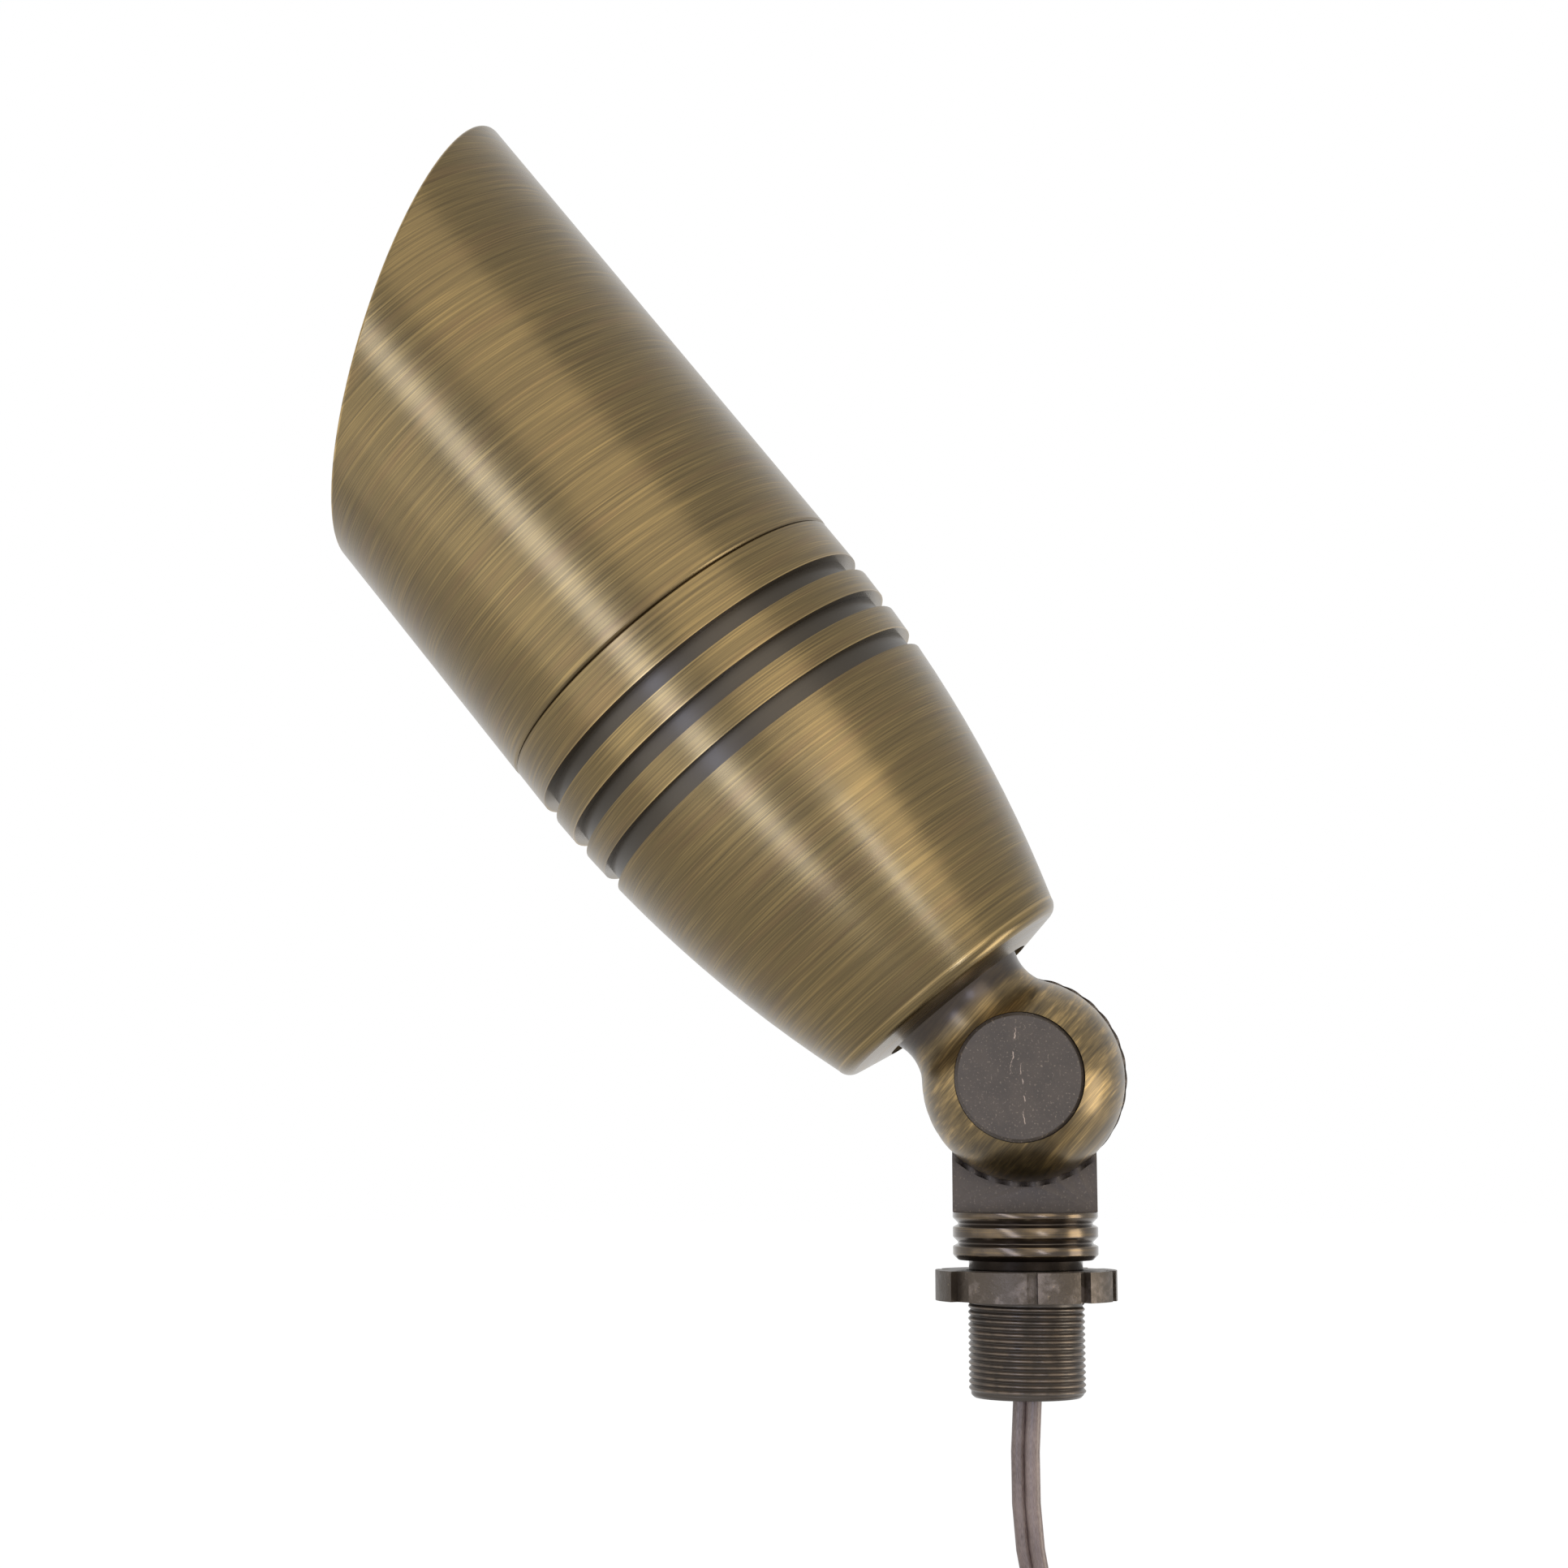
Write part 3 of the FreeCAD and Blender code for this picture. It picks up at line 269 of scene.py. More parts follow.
@dataclass(frozen=True)
class BrushedBronze:
    """Dark bronze patina under lacquer, rubbed through by fine brushing round the lamp's axis."""

    name: str
    dark: Colour = (0.088, 0.063, 0.030)
    middle: Colour = (0.138, 0.099, 0.043)
    bright: Colour = (0.240, 0.167, 0.066)
    bare: Colour = (0.50, 0.35, 0.15)
    ruddy: Colour = (0.145, 0.088, 0.043)
    recess: Colour = (0.050, 0.043, 0.035)
    roughness: float = 0.29
    hair: Pattern = Pattern((42.0, 42.0, 4200.0), weight=0.62)
    bands: Pattern = Pattern((20.0, 20.0, 1500.0))
    clouds: Pattern = Pattern((24.0, 24.0, 60.0), weight=0.55)
    patches: Pattern = Pattern((45.0, 45.0, 420.0), layers=2.0, weight=0.50)
    middle_fade: Fade = (0.38, 0.62)
    bright_fade: Fade = (0.56, 0.78)
    ruddy_fade: Fade = (0.48, 0.72)
    break_fade: Fade = (0.25, 0.60)
    rim_fade: Fade = (0.15 * MM, 0.75 * MM)
    ruddy_share: float = 0.30
    lip_share: float = 0.5
    recess_share: float = 0.94
    seam_share: float = 0.3
    rim_share: float = 0.8
    lips: tuple[Point, ...] = ()
    recesses: tuple[tuple[float, float, float], ...] = ()
    seam: float | None = None
    slant: Point | None = None

    def material(self) -> Material:
        """Build the finish.

        Returns:
            The material.
        """
        graph = Surface(self.name)
        place = graph.head_place()
        x, radius, height = graph.around(place)
        hair = graph.noise(place, self.hair)
        bands = graph.noise(place, self.bands)
        clouds = graph.noise(place, self.clouds)
        streak = hair * 0.68 + bands * 0.26 + clouds * 0.12 + 0.05
        colour = graph.blend(graph.smooth(streak, *self.middle_fade), self.dark, self.middle)
        colour = graph.blend(graph.smooth(streak, *self.bright_fade), colour, self.bright)
        patches = graph.smooth(graph.noise(place, self.patches), *self.ruddy_fade)
        colour = graph.blend(patches * self.ruddy_share, colour, self.ruddy)
        breaks = graph.smooth(bands, *self.break_fade)
        for lip_radius, lip_height in self.lips:
            near = graph.band(height, lip_height, half=0.06 * MM, soft=0.30 * MM)
            out = graph.smooth(radius, lip_radius - 0.55 * MM, lip_radius - 0.10 * MM)
            colour = graph.blend(near * out * breaks * self.lip_share, colour, self.bare)
        rough = self.roughness + (hair - 0.5) * 0.16 + (clouds - 0.5) * 0.10
        for foot, top, floor in self.recesses:
            inside = (height > foot) * (height < top)
            deep = inside * (1.0 - graph.smooth(radius, floor + 0.15 * MM, floor + 0.9 * MM))
            colour = graph.blend(deep * self.recess_share, colour, self.recess)
            rough = rough + deep * 0.14
        if self.seam is not None:
            line = graph.band(height, self.seam, half=0.10 * MM, soft=0.16 * MM)
            colour = graph.blend(line * self.seam_share, colour, self.recess)
        if self.slant is not None:
            foot, slope = self.slant
            rim = 1.0 - graph.smooth(foot + x * slope - height, *self.rim_fade)
            colour = graph.blend(rim * breaks * self.rim_share, colour, self.bare)
        normal = graph.bump(hair, distance=0.030 * MM, strength=0.18)
        normal = graph.bump(bands, distance=0.07 * MM, strength=0.08, Normal=normal)
        graph.set(Base_Color=colour, Roughness=rough, Metallic=1.0, Normal=normal)
        graph.set(Coat_Weight=0.24, Coat_Roughness=0.24, Coat_IOR=1.5)
        return graph.material


@dataclass(frozen=True)
class BallBronze:
    """The ball and its neck: hand-brushed on a slant, dark where the neck shades it."""

    name: str
    dark: Colour = (0.066, 0.048, 0.026)
    middle: Colour = (0.145, 0.102, 0.046)
    bright: Colour = (0.360, 0.245, 0.098)
    # neck: colour of the painted shade on the neck and on the ball beside it
    neck: Colour = (0.036, 0.028, 0.024)
    grain_turn: float = math.radians(48.0)
    hair: Pattern = Pattern((90.0, 300.0, 3600.0))
    bands: Pattern = Pattern((60.0, 120.0, 900.0), layers=2.0)
    clouds: Pattern = Pattern(130.0, layers=2.0, weight=0.50)
    middle_fade: Fade = (0.36, 0.58)
    bright_fade: Fade = (0.52, 0.72)
    neck_shade_fade: Fade = (13.2 * MM, 16.2 * MM)
    neck_shade_share: float = 0.92

    def material(self) -> Material:
        """Build the finish.

        Returns:
            The material.
        """
        graph = Surface(self.name)
        head = graph.head_place()
        _, _, height = graph.split(head)
        grain_place = graph.place(self.grain_turn)
        hair = graph.noise(grain_place, self.hair)
        bands = graph.noise(grain_place, self.bands)
        streak = hair * 0.40 + bands * 0.38 + graph.noise(head, self.clouds) * 0.30
        colour = graph.blend(graph.smooth(streak, *self.middle_fade), self.dark, self.middle)
        colour = graph.blend(graph.smooth(streak, *self.bright_fade), colour, self.bright)
        # Painted shade: the neck and the ball next to it are darkened where the neck shades them.
        neck_shade_mask = graph.smooth(height, *self.neck_shade_fade)
        colour = graph.blend(neck_shade_mask * self.neck_shade_share, colour, self.neck)
        rough = 0.34 + (hair - 0.5) * 0.16 - neck_shade_mask * 0.04
        normal = graph.bump(bands, distance=0.06 * MM, strength=0.10)
        normal = graph.bump(hair, distance=0.03 * MM, strength=0.20, Normal=normal)
        graph.set(Base_Color=colour, Roughness=rough, Metallic=0.88, Normal=normal)
        graph.set(Coat_Weight=0.2, Coat_Roughness=0.25, Coat_IOR=1.5)
        return graph.material


@dataclass(frozen=True)
class CharcoalBronze:
    """Blackened bronze of the faces that were never brushed, with fine grain and pale specks.

    A scratch is its middle, its foot and its top in millimetres, and its lean.
    """

    name: str
    colour: Colour = (0.046, 0.035, 0.026)
    speck: Colour = (0.20, 0.155, 0.11)
    scratched: Colour = (0.34, 0.26, 0.20)
    roughness: float = 0.50
    specks: float = 0.35
    metallic: float = 0.30
    mottle: Pattern = Pattern(260.0, layers=4.0)
    dust: Pattern = Pattern(2600.0, layers=2.0, weight=0.50)
    wander: Pattern = Pattern(330.0)
    gaps: Pattern = Pattern(900.0, layers=2.0, weight=0.50)
    speck_fade: Fade = (0.58, 0.74)
    gap_fade: Fade = (0.42, 0.56)
    wander_width: float = 2.2 * MM
    scratch_share: float = 0.8
    scratches: tuple[tuple[float, float, float, float], ...] = ()

    def scratch(self, graph: Surface, x: Signal, z: Signal) -> Signal:
        """Ragged pale hairlines.

        Args:
            graph: The material's graph.
            x: Position across.
            z: Position up.

        Returns:
            The hairlines' mask.
        """
        wander = graph.noise(graph.place(), self.wander) - 0.5
        gaps = graph.smooth(graph.noise(graph.place(), self.gaps), *self.gap_fade)
        total: Signal | None = None
        for centre, low, high, lean in self.scratches:
            middle = (low + high) / 2 * MM
            line = x - centre * MM - (z - middle) * lean - wander * self.wander_width
            thin = graph.band(line, 0.0, half=0.05 * MM, soft=0.09 * MM)
            span = graph.band(z, middle, half=(high - low) / 2 * MM, soft=0.6 * MM)
            mark = thin * span * gaps
            total = mark if total is None else graph.math("MAXIMUM", total, mark)
        return total

    def material(self) -> Material:
        """Build the finish.

        Returns:
            The material.
        """
        graph = Surface(self.name)
        place = graph.place()
        mottle = graph.noise(place, self.mottle)
        dust = graph.noise(place, self.dust)
        colour = graph.mottled(mottle, self.colour, swing=0.15)
        colour = graph.blend(graph.smooth(dust, *self.speck_fade) * self.specks, colour, self.speck)
        if self.scratches:
            x, _, z = graph.split(place)
            colour = graph.blend(self.scratch(graph, x, z) * self.scratch_share, colour, self.scratched)
        rough = self.roughness + (mottle - 0.5) * 0.22
        normal = graph.bump(dust, distance=0.06 * MM, strength=0.40)
        graph.set(Base_Color=colour, Roughness=rough, Metallic=self.metallic, Normal=normal)
        return graph.material


@dataclass(frozen=True)
class TurnedBronze:
    """Rings and neck of the stem: dark bronze, rubbed golden on the outermost turns, black in the grooves."""

    name: str
    dark: Colour = (0.050, 0.037, 0.027)
    golden: Colour = (0.128, 0.087, 0.041)
    crown_fade: Fade = (11.9 * MM, 12.5 * MM)
    rubbed_fade: Fade = (0.38, 0.70)
    turned: Pattern = Pattern((60.0, 60.0, 5200.0), layers=2.0)
    clouds: Pattern = Pattern(260.0)

    def material(self) -> Material:
        """Build the finish.

        Returns:
            The material.
        """
        graph = Surface(self.name)
        place = graph.place()
        _, radius, _ = graph.around(place)
        turned = graph.noise(place, self.turned)
        clouds = graph.noise(place, self.clouds)
        crowns = graph.smooth(radius, *self.crown_fade)
        rubbed = crowns * graph.smooth(turned * 0.6 + clouds * 0.4, *self.rubbed_fade)
        colour = graph.blend(rubbed * 0.85, self.dark, self.golden)
        rough = 0.20 + (turned - 0.5) * 0.10 + (clouds - 0.5) * 0.10
        normal = graph.bump(turned, distance=0.02 * MM, strength=0.15)
        graph.set(Base_Color=colour, Roughness=rough, Metallic=0.95, Normal=normal)
        graph.set(Coat_Weight=0.3, Coat_Roughness=0.28, Coat_IOR=1.5)
        return graph.material


@dataclass(frozen=True)
class ThreadBronze:
    """The cut thread: brown-black roots, crests worn towards brass."""

    name: str
    root: Colour = (0.050, 0.040, 0.031)
    crest: Colour = (0.112, 0.082, 0.056)
    crest_fade: Fade = (9.68 * MM, 9.95 * MM)
    cloud_fade: Fade = (0.28, 0.66)
    clouds: Pattern = Pattern(420.0)

    def material(self) -> Material:
        """Build the finish.

        Returns:
            The material.
        """
        graph = Surface(self.name)
        place = graph.place()
        _, radius, _ = graph.around(place)
        clouds = graph.noise(place, self.clouds)
        worn = graph.smooth(radius, *self.crest_fade) * graph.smooth(clouds, *self.cloud_fade)
        colour = graph.blend(worn, self.root, self.crest)
        rough = 0.34 + (clouds - 0.5) * 0.24
        normal = graph.bump(clouds, distance=0.05 * MM, strength=0.25)
        graph.set(Base_Color=colour, Roughness=rough, Metallic=0.55, Normal=normal)
        return graph.material


@dataclass(frozen=True)
class CastBronze:
    """Rough cast bronze of the nuts: dark brown with grey clouds and a few bright grains."""

    name: str
    brown: Colour = (0.052, 0.039, 0.027)
    cloud: Colour = (0.130, 0.104, 0.086)
    grain: Colour = (0.28, 0.21, 0.13)
    cloud_fade: Fade = (0.53, 0.70)
    grain_fade: Fade = (0.60, 0.70)
    clouds: Pattern = Pattern(230.0)
    lumps: Pattern = Pattern(620.0, layers=4.0, weight=0.65)
    pits: Pattern = Pattern(1900.0, layers=2.0, weight=0.50)

    def material(self) -> Material:
        """Build the finish.

        Returns:
            The material.
        """
        graph = Surface(self.name)
        place = graph.place()
        clouds = graph.noise(place, self.clouds)
        lumps = graph.noise(place, self.lumps)
        pits = graph.noise(place, self.pits)
        clouded = graph.smooth(clouds * 0.7 + lumps * 0.4, *self.cloud_fade)
        colour = graph.blend(clouded * 0.80, self.brown, self.cloud)
        grains = graph.smooth(pits * 0.6 + lumps * 0.4, *self.grain_fade)
        colour = graph.blend(grains * 0.35, colour, self.grain)
        normal = graph.bump(lumps, distance=0.30 * MM, strength=0.45)
        normal = graph.bump(pits, distance=0.08 * MM, strength=0.35, Normal=normal)
        rough = 0.42 + (lumps - 0.5) * 0.25
        graph.set(Base_Color=colour, Roughness=rough, Metallic=0.6, Normal=normal)
        return graph.material


@dataclass(frozen=True)
class PlainFinish:
    """Even finish with a faint mottle, for seals, ceramic, steel and sleeving."""

    name: str
    colour: Colour
    roughness: float
    metallic: float = 0.0
    mottle: float = 0.12
    cloud: Pattern = Pattern(600.0, weight=0.55)

    def material(self) -> Material:
        """Build the finish.

        Returns:
            The material.
        """
        graph = Surface(self.name)
        cloud = graph.noise(graph.place(), self.cloud)
        colour = graph.mottled(cloud, self.colour, self.mottle)
        rough = self.roughness + (cloud - 0.5) * 0.12
        normal = graph.bump(cloud, distance=0.02 * MM, strength=0.35)
        graph.set(Base_Color=colour, Roughness=rough, Metallic=self.metallic, Normal=normal)
        return graph.material


@dataclass(frozen=True)
class ClearGlass:
    """Clear glass with a faint tint and wiped smears."""

    name: str
    tint: Colour = (0.96, 0.985, 0.975)
    roughness: float = 0.015
    smears: Pattern = Pattern(90.0, layers=2.0, weight=0.50)

    def material(self) -> Material:
        """Build the finish.

        Returns:
            The material.
        """
        graph = Surface(self.name)
        rough = self.roughness + graph.noise(graph.place(), self.smears) * 0.02
        graph.set(Base_Color=self.tint, Roughness=rough, Transmission_Weight=1.0, IOR=1.5)
        return graph.material


@dataclass(frozen=True)
class CordVinyl:
    """Dull brown vinyl of the flat cord with fine lengthwise drag lines; the ribbed core is painted paler
    along its length as a highlight.
    """

    name: str
    colour: Colour = (0.072, 0.049, 0.041)
    # pale: colour of the drag lines, and of the painted highlight on the ribbed core
    pale: Colour = (0.190, 0.140, 0.118)
    grain: Pattern = Pattern((46.0, 5.0, 1.0))
    cloud: Pattern = Pattern(240.0, weight=0.50)
    light_fade: Fade = (0.34, 0.66)
    rib_highlight_fade: Fade = (0.45, 0.52)

    def material(self) -> Material:
        """Build the finish.

        Returns:
            The material.
        """
        graph = Surface(self.name)
        along = graph.node("UVMap", {"uv_map": "along"})
        side, _, _ = graph.split(along)
        grain = graph.noise(along, self.grain)
        cloud = graph.noise(graph.place(), self.cloud)
        # Painted highlight: the ribbed core is made paler along its whole length.
        ribbed = graph.smooth(side, *self.rib_highlight_fade)
        light = graph.smooth(grain * 0.65 + cloud * 0.35, *self.light_fade) * 0.75 + ribbed * 0.25
        colour = graph.blend(light, self.colour, self.pale)
        normal = graph.bump(grain, distance=0.03 * MM, strength=0.35)
        rough = 0.36 + (cloud - 0.5) * 0.2
        graph.set(Base_Color=colour, Roughness=rough, Normal=normal)
        return graph.material


# ---- modelling helpers


def select_only(piece: Piece) -> None:
    """Deselect everything, then select one piece and make it active.

    Args:
        piece: The piece to select.
    """
    bpy.ops.object.select_all(action="DESELECT")
    piece.select_set(True)
    bpy.context.view_layer.objects.active = piece


def settle(piece: Piece) -> None:
    """Put a piece's place into its mesh."""
    select_only(piece)
    bpy.ops.object.transform_apply(location=True, rotation=True, scale=True)


def edit_all(piece: Piece) -> None:
    """Open a piece in edit mode with all its vertices selected.

    Args:
        piece: The piece to edit.
    """
    select_only(piece)
    bpy.ops.object.mode_set(mode="EDIT")
    bpy.ops.mesh.select_mode(type="VERT")
    bpy.ops.mesh.select_all(action="SELECT")


def face_outwards() -> None:
    """Turn every face of the piece that is open outwards, and leave edit mode."""
    bpy.ops.mesh.select_all(action="SELECT")
    bpy.ops.mesh.normals_make_consistent(inside=False)
    bpy.ops.object.mode_set(mode="OBJECT")


def draw_outline(name: str, corners: Sequence[Vector]) -> Piece:
    """Draw a closed outline by extruding one point from corner to corner.

    Args:
        name: The piece's name.
        corners: The outline's corners in order.

    Returns:
        The outline, in object mode, with its place in its mesh.
    """
    bpy.ops.object.select_all(action="DESELECT")
    bpy.ops.mesh.primitive_plane_add(size=MM, location=corners[0])
    piece = bpy.context.object
    piece.name = name
    piece.data.name = name
    edit_all(piece)
    bpy.ops.mesh.merge(type="CENTER")
    for start, finish in zip(corners, (*corners[1:], corners[0])):
        bpy.ops.mesh.extrude_region_move(TRANSFORM_OT_translate={"value": finish - start})
    bpy.ops.mesh.select_all(action="SELECT")
    bpy.ops.mesh.remove_doubles(threshold=OUTLINE_WELD)
    bpy.ops.object.mode_set(mode="OBJECT")
    settle(piece)
    return piece


def spin_round(piece: Piece, steps: int, centre: Vector, axis: Vector) -> None:
    """Spin an outline into a full turn and close its seam.

    Args:
        piece: The outline.
        steps: Number of segments.
        centre: A point on the axis.
        axis: The axis's direction.
    """
    edit_all(piece)
    bpy.ops.mesh.spin(steps=steps, angle=math.tau, center=centre, axis=axis)
    bpy.ops.mesh.select_all(action="SELECT")
    bpy.ops.mesh.remove_doubles(threshold=SPIN_WELD)
    face_outwards()


def shade(piece: Piece, angle: float) -> None:
    """Shade smooth up to an angle in degrees."""
    select_only(piece)
    bpy.ops.object.shade_smooth_by_angle(angle=math.radians(angle))


def apply_modifier(piece: Piece, kind: str, **settings: object) -> None:
    """Add a modifier, set it up and apply it.

    Args:
        piece: The piece it works on.
        kind: The modifier's type.
        settings: Its attributes.
    """
    select_only(piece)
    modifier = piece.modifiers.new(kind.title(), kind)
    for name, value in settings.items():
        setattr(modifier, name, value)
    bpy.ops.object.modifier_apply(modifier=modifier.name)


def screw_round(piece: Piece, rise: float, turns: int, steps: int) -> None:
    """Screw an outline round Z and close its two ends.

    Args:
        piece: The outline.
        rise: Height of one turn.
        turns: Number of turns.
        steps: Segments in one turn.
    """
    apply_modifier(
        piece, "SCREW", axis="Z", angle=math.tau, screw_offset=rise, iterations=turns,
        steps=steps, render_steps=steps,
    )
    edit_all(piece)
    bpy.ops.mesh.select_all(action="DESELECT")
    bpy.ops.mesh.select_non_manifold(extend=False)
    bpy.ops.mesh.edge_face_add()
    face_outwards()


def claim(piece: Piece, body: str, slot: str, *nodes: str) -> None:
    """Tie a new piece to its body, and hide the CAD nodes it stands for.

    Args:
        piece: The new piece.
        body: The CAD body it moves with.
        slot: The record's material slot; not used.
        nodes: CAD nodes that it replaces.
    """
    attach(piece, body)
    if nodes:
        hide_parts(*nodes)
    log.info("%s rides on %s", piece.name, body)


# ---- cord


@dataclass
class SupplyCord:
    """Flat two-core cord: down from the nipple, a twist, over to a coil that lies on the floor."""

    width: float = 5.0 * MM
    waist: float = 0.35 * MM
    exit_height: float = -15.8 * MM
    level: float = FLOOR_HEIGHT + 1.6 * MM
    sway: float = -4.0 * MM
    reach: float = 45.0 * MM
    coil_centre: Point = (62.5 * MM, -30.0 * MM)
    outer: float = 30.0 * MM
    inner: float = 20.0 * MM
    layer: float = 3.15 * MM
    spiral_turns: float = 2.0
    last_turns: float = 0.37
    length: float = 0.914
    exit_turn: float = math.radians(-12.0)
    twist_from: float = 29.0 * MM
    twist_to: float = 54.0 * MM

    def route(self) -> list[Vector]:
        """Lay out the cord's spline: down, over the floor and round the coil.

        Returns:
            Its points.
        """
        run = [
            Vector((0.0, 0.0, self.exit_height)),
            Vector((self.sway, 0.0, self.level)),
            Vector((self.reach, 0.0, self.level)),
        ]
        return run + self.coil()

    def coil(self) -> list[Vector]:
        """Lay out the coil: in along the floor, one turn up, and out again on top.

        Returns:
            Its points.
        """
        per_turn = 16
        climb_after, climb_turns = 0.25, 0.5
        centre_x, centre_y = self.coil_centre
        crossing = self.spiral_turns + 1.0
        total = self.spiral_turns * 2 + 1.0 + self.last_turns
        points = []
        for step in range(int(round(total * per_turn)) + 1):
            turn = step / per_turn
            inwards = min(turn, self.spiral_turns)
            outwards = min(max(turn - crossing, 0.0), self.spiral_turns)
            radius = self.outer - (self.outer - self.inner) * (inwards - outwards) / self.spiral_turns
            climb = min(max((turn - self.spiral_turns - climb_after) / climb_turns, 0.0), 1.0)
            angle = math.pi / 2 - math.tau * turn
            place = Vector((centre_x + radius * math.cos(angle), centre_y + radius * math.sin(angle), 0.0))
            place.z = self.level + self.layer * climb
            points.append(place)
        return points

    def centreline(self) -> list[Vector]:
        """Read the spline's own points from a curve with no bevel.

        Returns:
            The centreline.
        """
        curve = bpy.data.curves.new("cord_route", "CURVE")
        curve.dimensions = "3D"
        curve.resolution_u = 10
        line = curve.splines.new("NURBS")
        route = self.route()
        line.points.add(len(route) - 1)
        for point, place in zip(line.points, route):
            point.co = (*place, 1.0)
        line.order_u = 3
        line.use_endpoint_u = True
        holder = bpy.data.objects.new("cord_route", curve)
        mesh = bpy.data.meshes.new_from_object(holder)
        points = [vertex.co.copy() for vertex in mesh.vertices]
        bpy.data.objects.remove(holder)
        bpy.data.meshes.remove(mesh)
        bpy.data.curves.remove(curve)
        return points

    def section(self) -> list[Point]:
        """Draw the two cores side by side, the right one ribbed along its length.

        Returns:
            The outline's points, across and up.
        """
        # Each core in order: centre, radius, where its waist is, number of segments and depth of its ribs.
        cores = ((-1.30 * MM, 1.20 * MM, 0.0, 10, 0.0), (1.15 * MM, 1.35 * MM, -math.pi, 20, 0.05 * MM))
        outline = []
        for centre, core_radius, start, steps, rib in cores:
            first = math.asin(self.waist / core_radius)
            for step in range(steps + 1):
                angle = start + first + (math.tau - 2.0 * first) * step / steps
                radius = core_radius - (rib if step % 2 else 0.0)
                outline.append((centre + radius * math.cos(angle), radius * math.sin(angle)))
        return outline

    def across(self, along: Vector, travelled: float) -> Vector:
        """Direction of the cord's width.

        Args:
            along: The cord's own direction.
            travelled: Distance from the exit.

        Returns:
            A unit vector square to the cord.
        """
        flat = along.cross(UPWARDS)
        share = min(max((travelled - self.twist_from) / (self.twist_to - self.twist_from), 0.0), 1.0)
        share = share * share * (3.0 - 2.0 * share)
        turn = self.exit_turn + (-math.pi / 2 - self.exit_turn) * share
        hanging = Vector((math.cos(turn), math.sin(turn), 0.0))
        chosen = flat if share >= 1.0 else hanging
        return (chosen - along * chosen.dot(along)).normalized()

    def mesh(self, path: Sequence[Vector]) -> Piece:
        """Carry the section along the path, with both ends closed.

        Args:
            path: The centreline.

        Returns:
            The cord.
        """
        outline = self.section()
        size = len(outline)
        points: list[Vector] = []
        travelled = 0.0
        distances = []
        for number, place in enumerate(path):
            before = path[max(number - 1, 0)]
            after = path[min(number + 1, len(path) - 1)]
            travelled += (place - before).length
            distances.append(travelled)
            along = (after - before).normalized()
            width = self.across(along, travelled)
            height = width.cross(along)
            points += [place + width * x + height * y for x, y in outline]
        faces = []
        for ring in range(len(path) - 1):
            for corner in range(size):
                after = (corner + 1) % size
                low, high = ring * size, (ring + 1) * size
                faces.append((low + corner, low + after, high + after, high + corner))
        faces.append(tuple(reversed(range(size))))
        faces.append(tuple(range(len(points) - size, len(points))))
        mesh = bpy.data.meshes.new("supply_cord")
        mesh.from_pydata([tuple(point) for point in points], [], faces)
        layer = mesh.uv_layers.new(name="along")
        for face in mesh.polygons:
            for loop, vertex in zip(face.loop_indices, face.vertices):
                ring, corner = divmod(vertex, size)
                side = outline[corner][0] / self.width + 0.5
                layer.data[loop].uv = (side, distances[ring] / self.width)
        piece = bpy.data.objects.new("supply_cord", mesh)
        bpy.context.scene.collection.objects.link(piece)
        edit_all(piece)
        face_outwards()
        shade(piece, angle=50.0)
        return piece

    def build(self, finish: Material) -> None:
        """Lay the cord.

        Args:
            finish: The cord's vinyl.
        """
        path = self.centreline()
        piece = self.mesh(path)
        piece.data.materials.append(finish)
        claim(piece, "mount_stem", "cord_jacket", "power_cable", "cable_coil")


# ---- stem


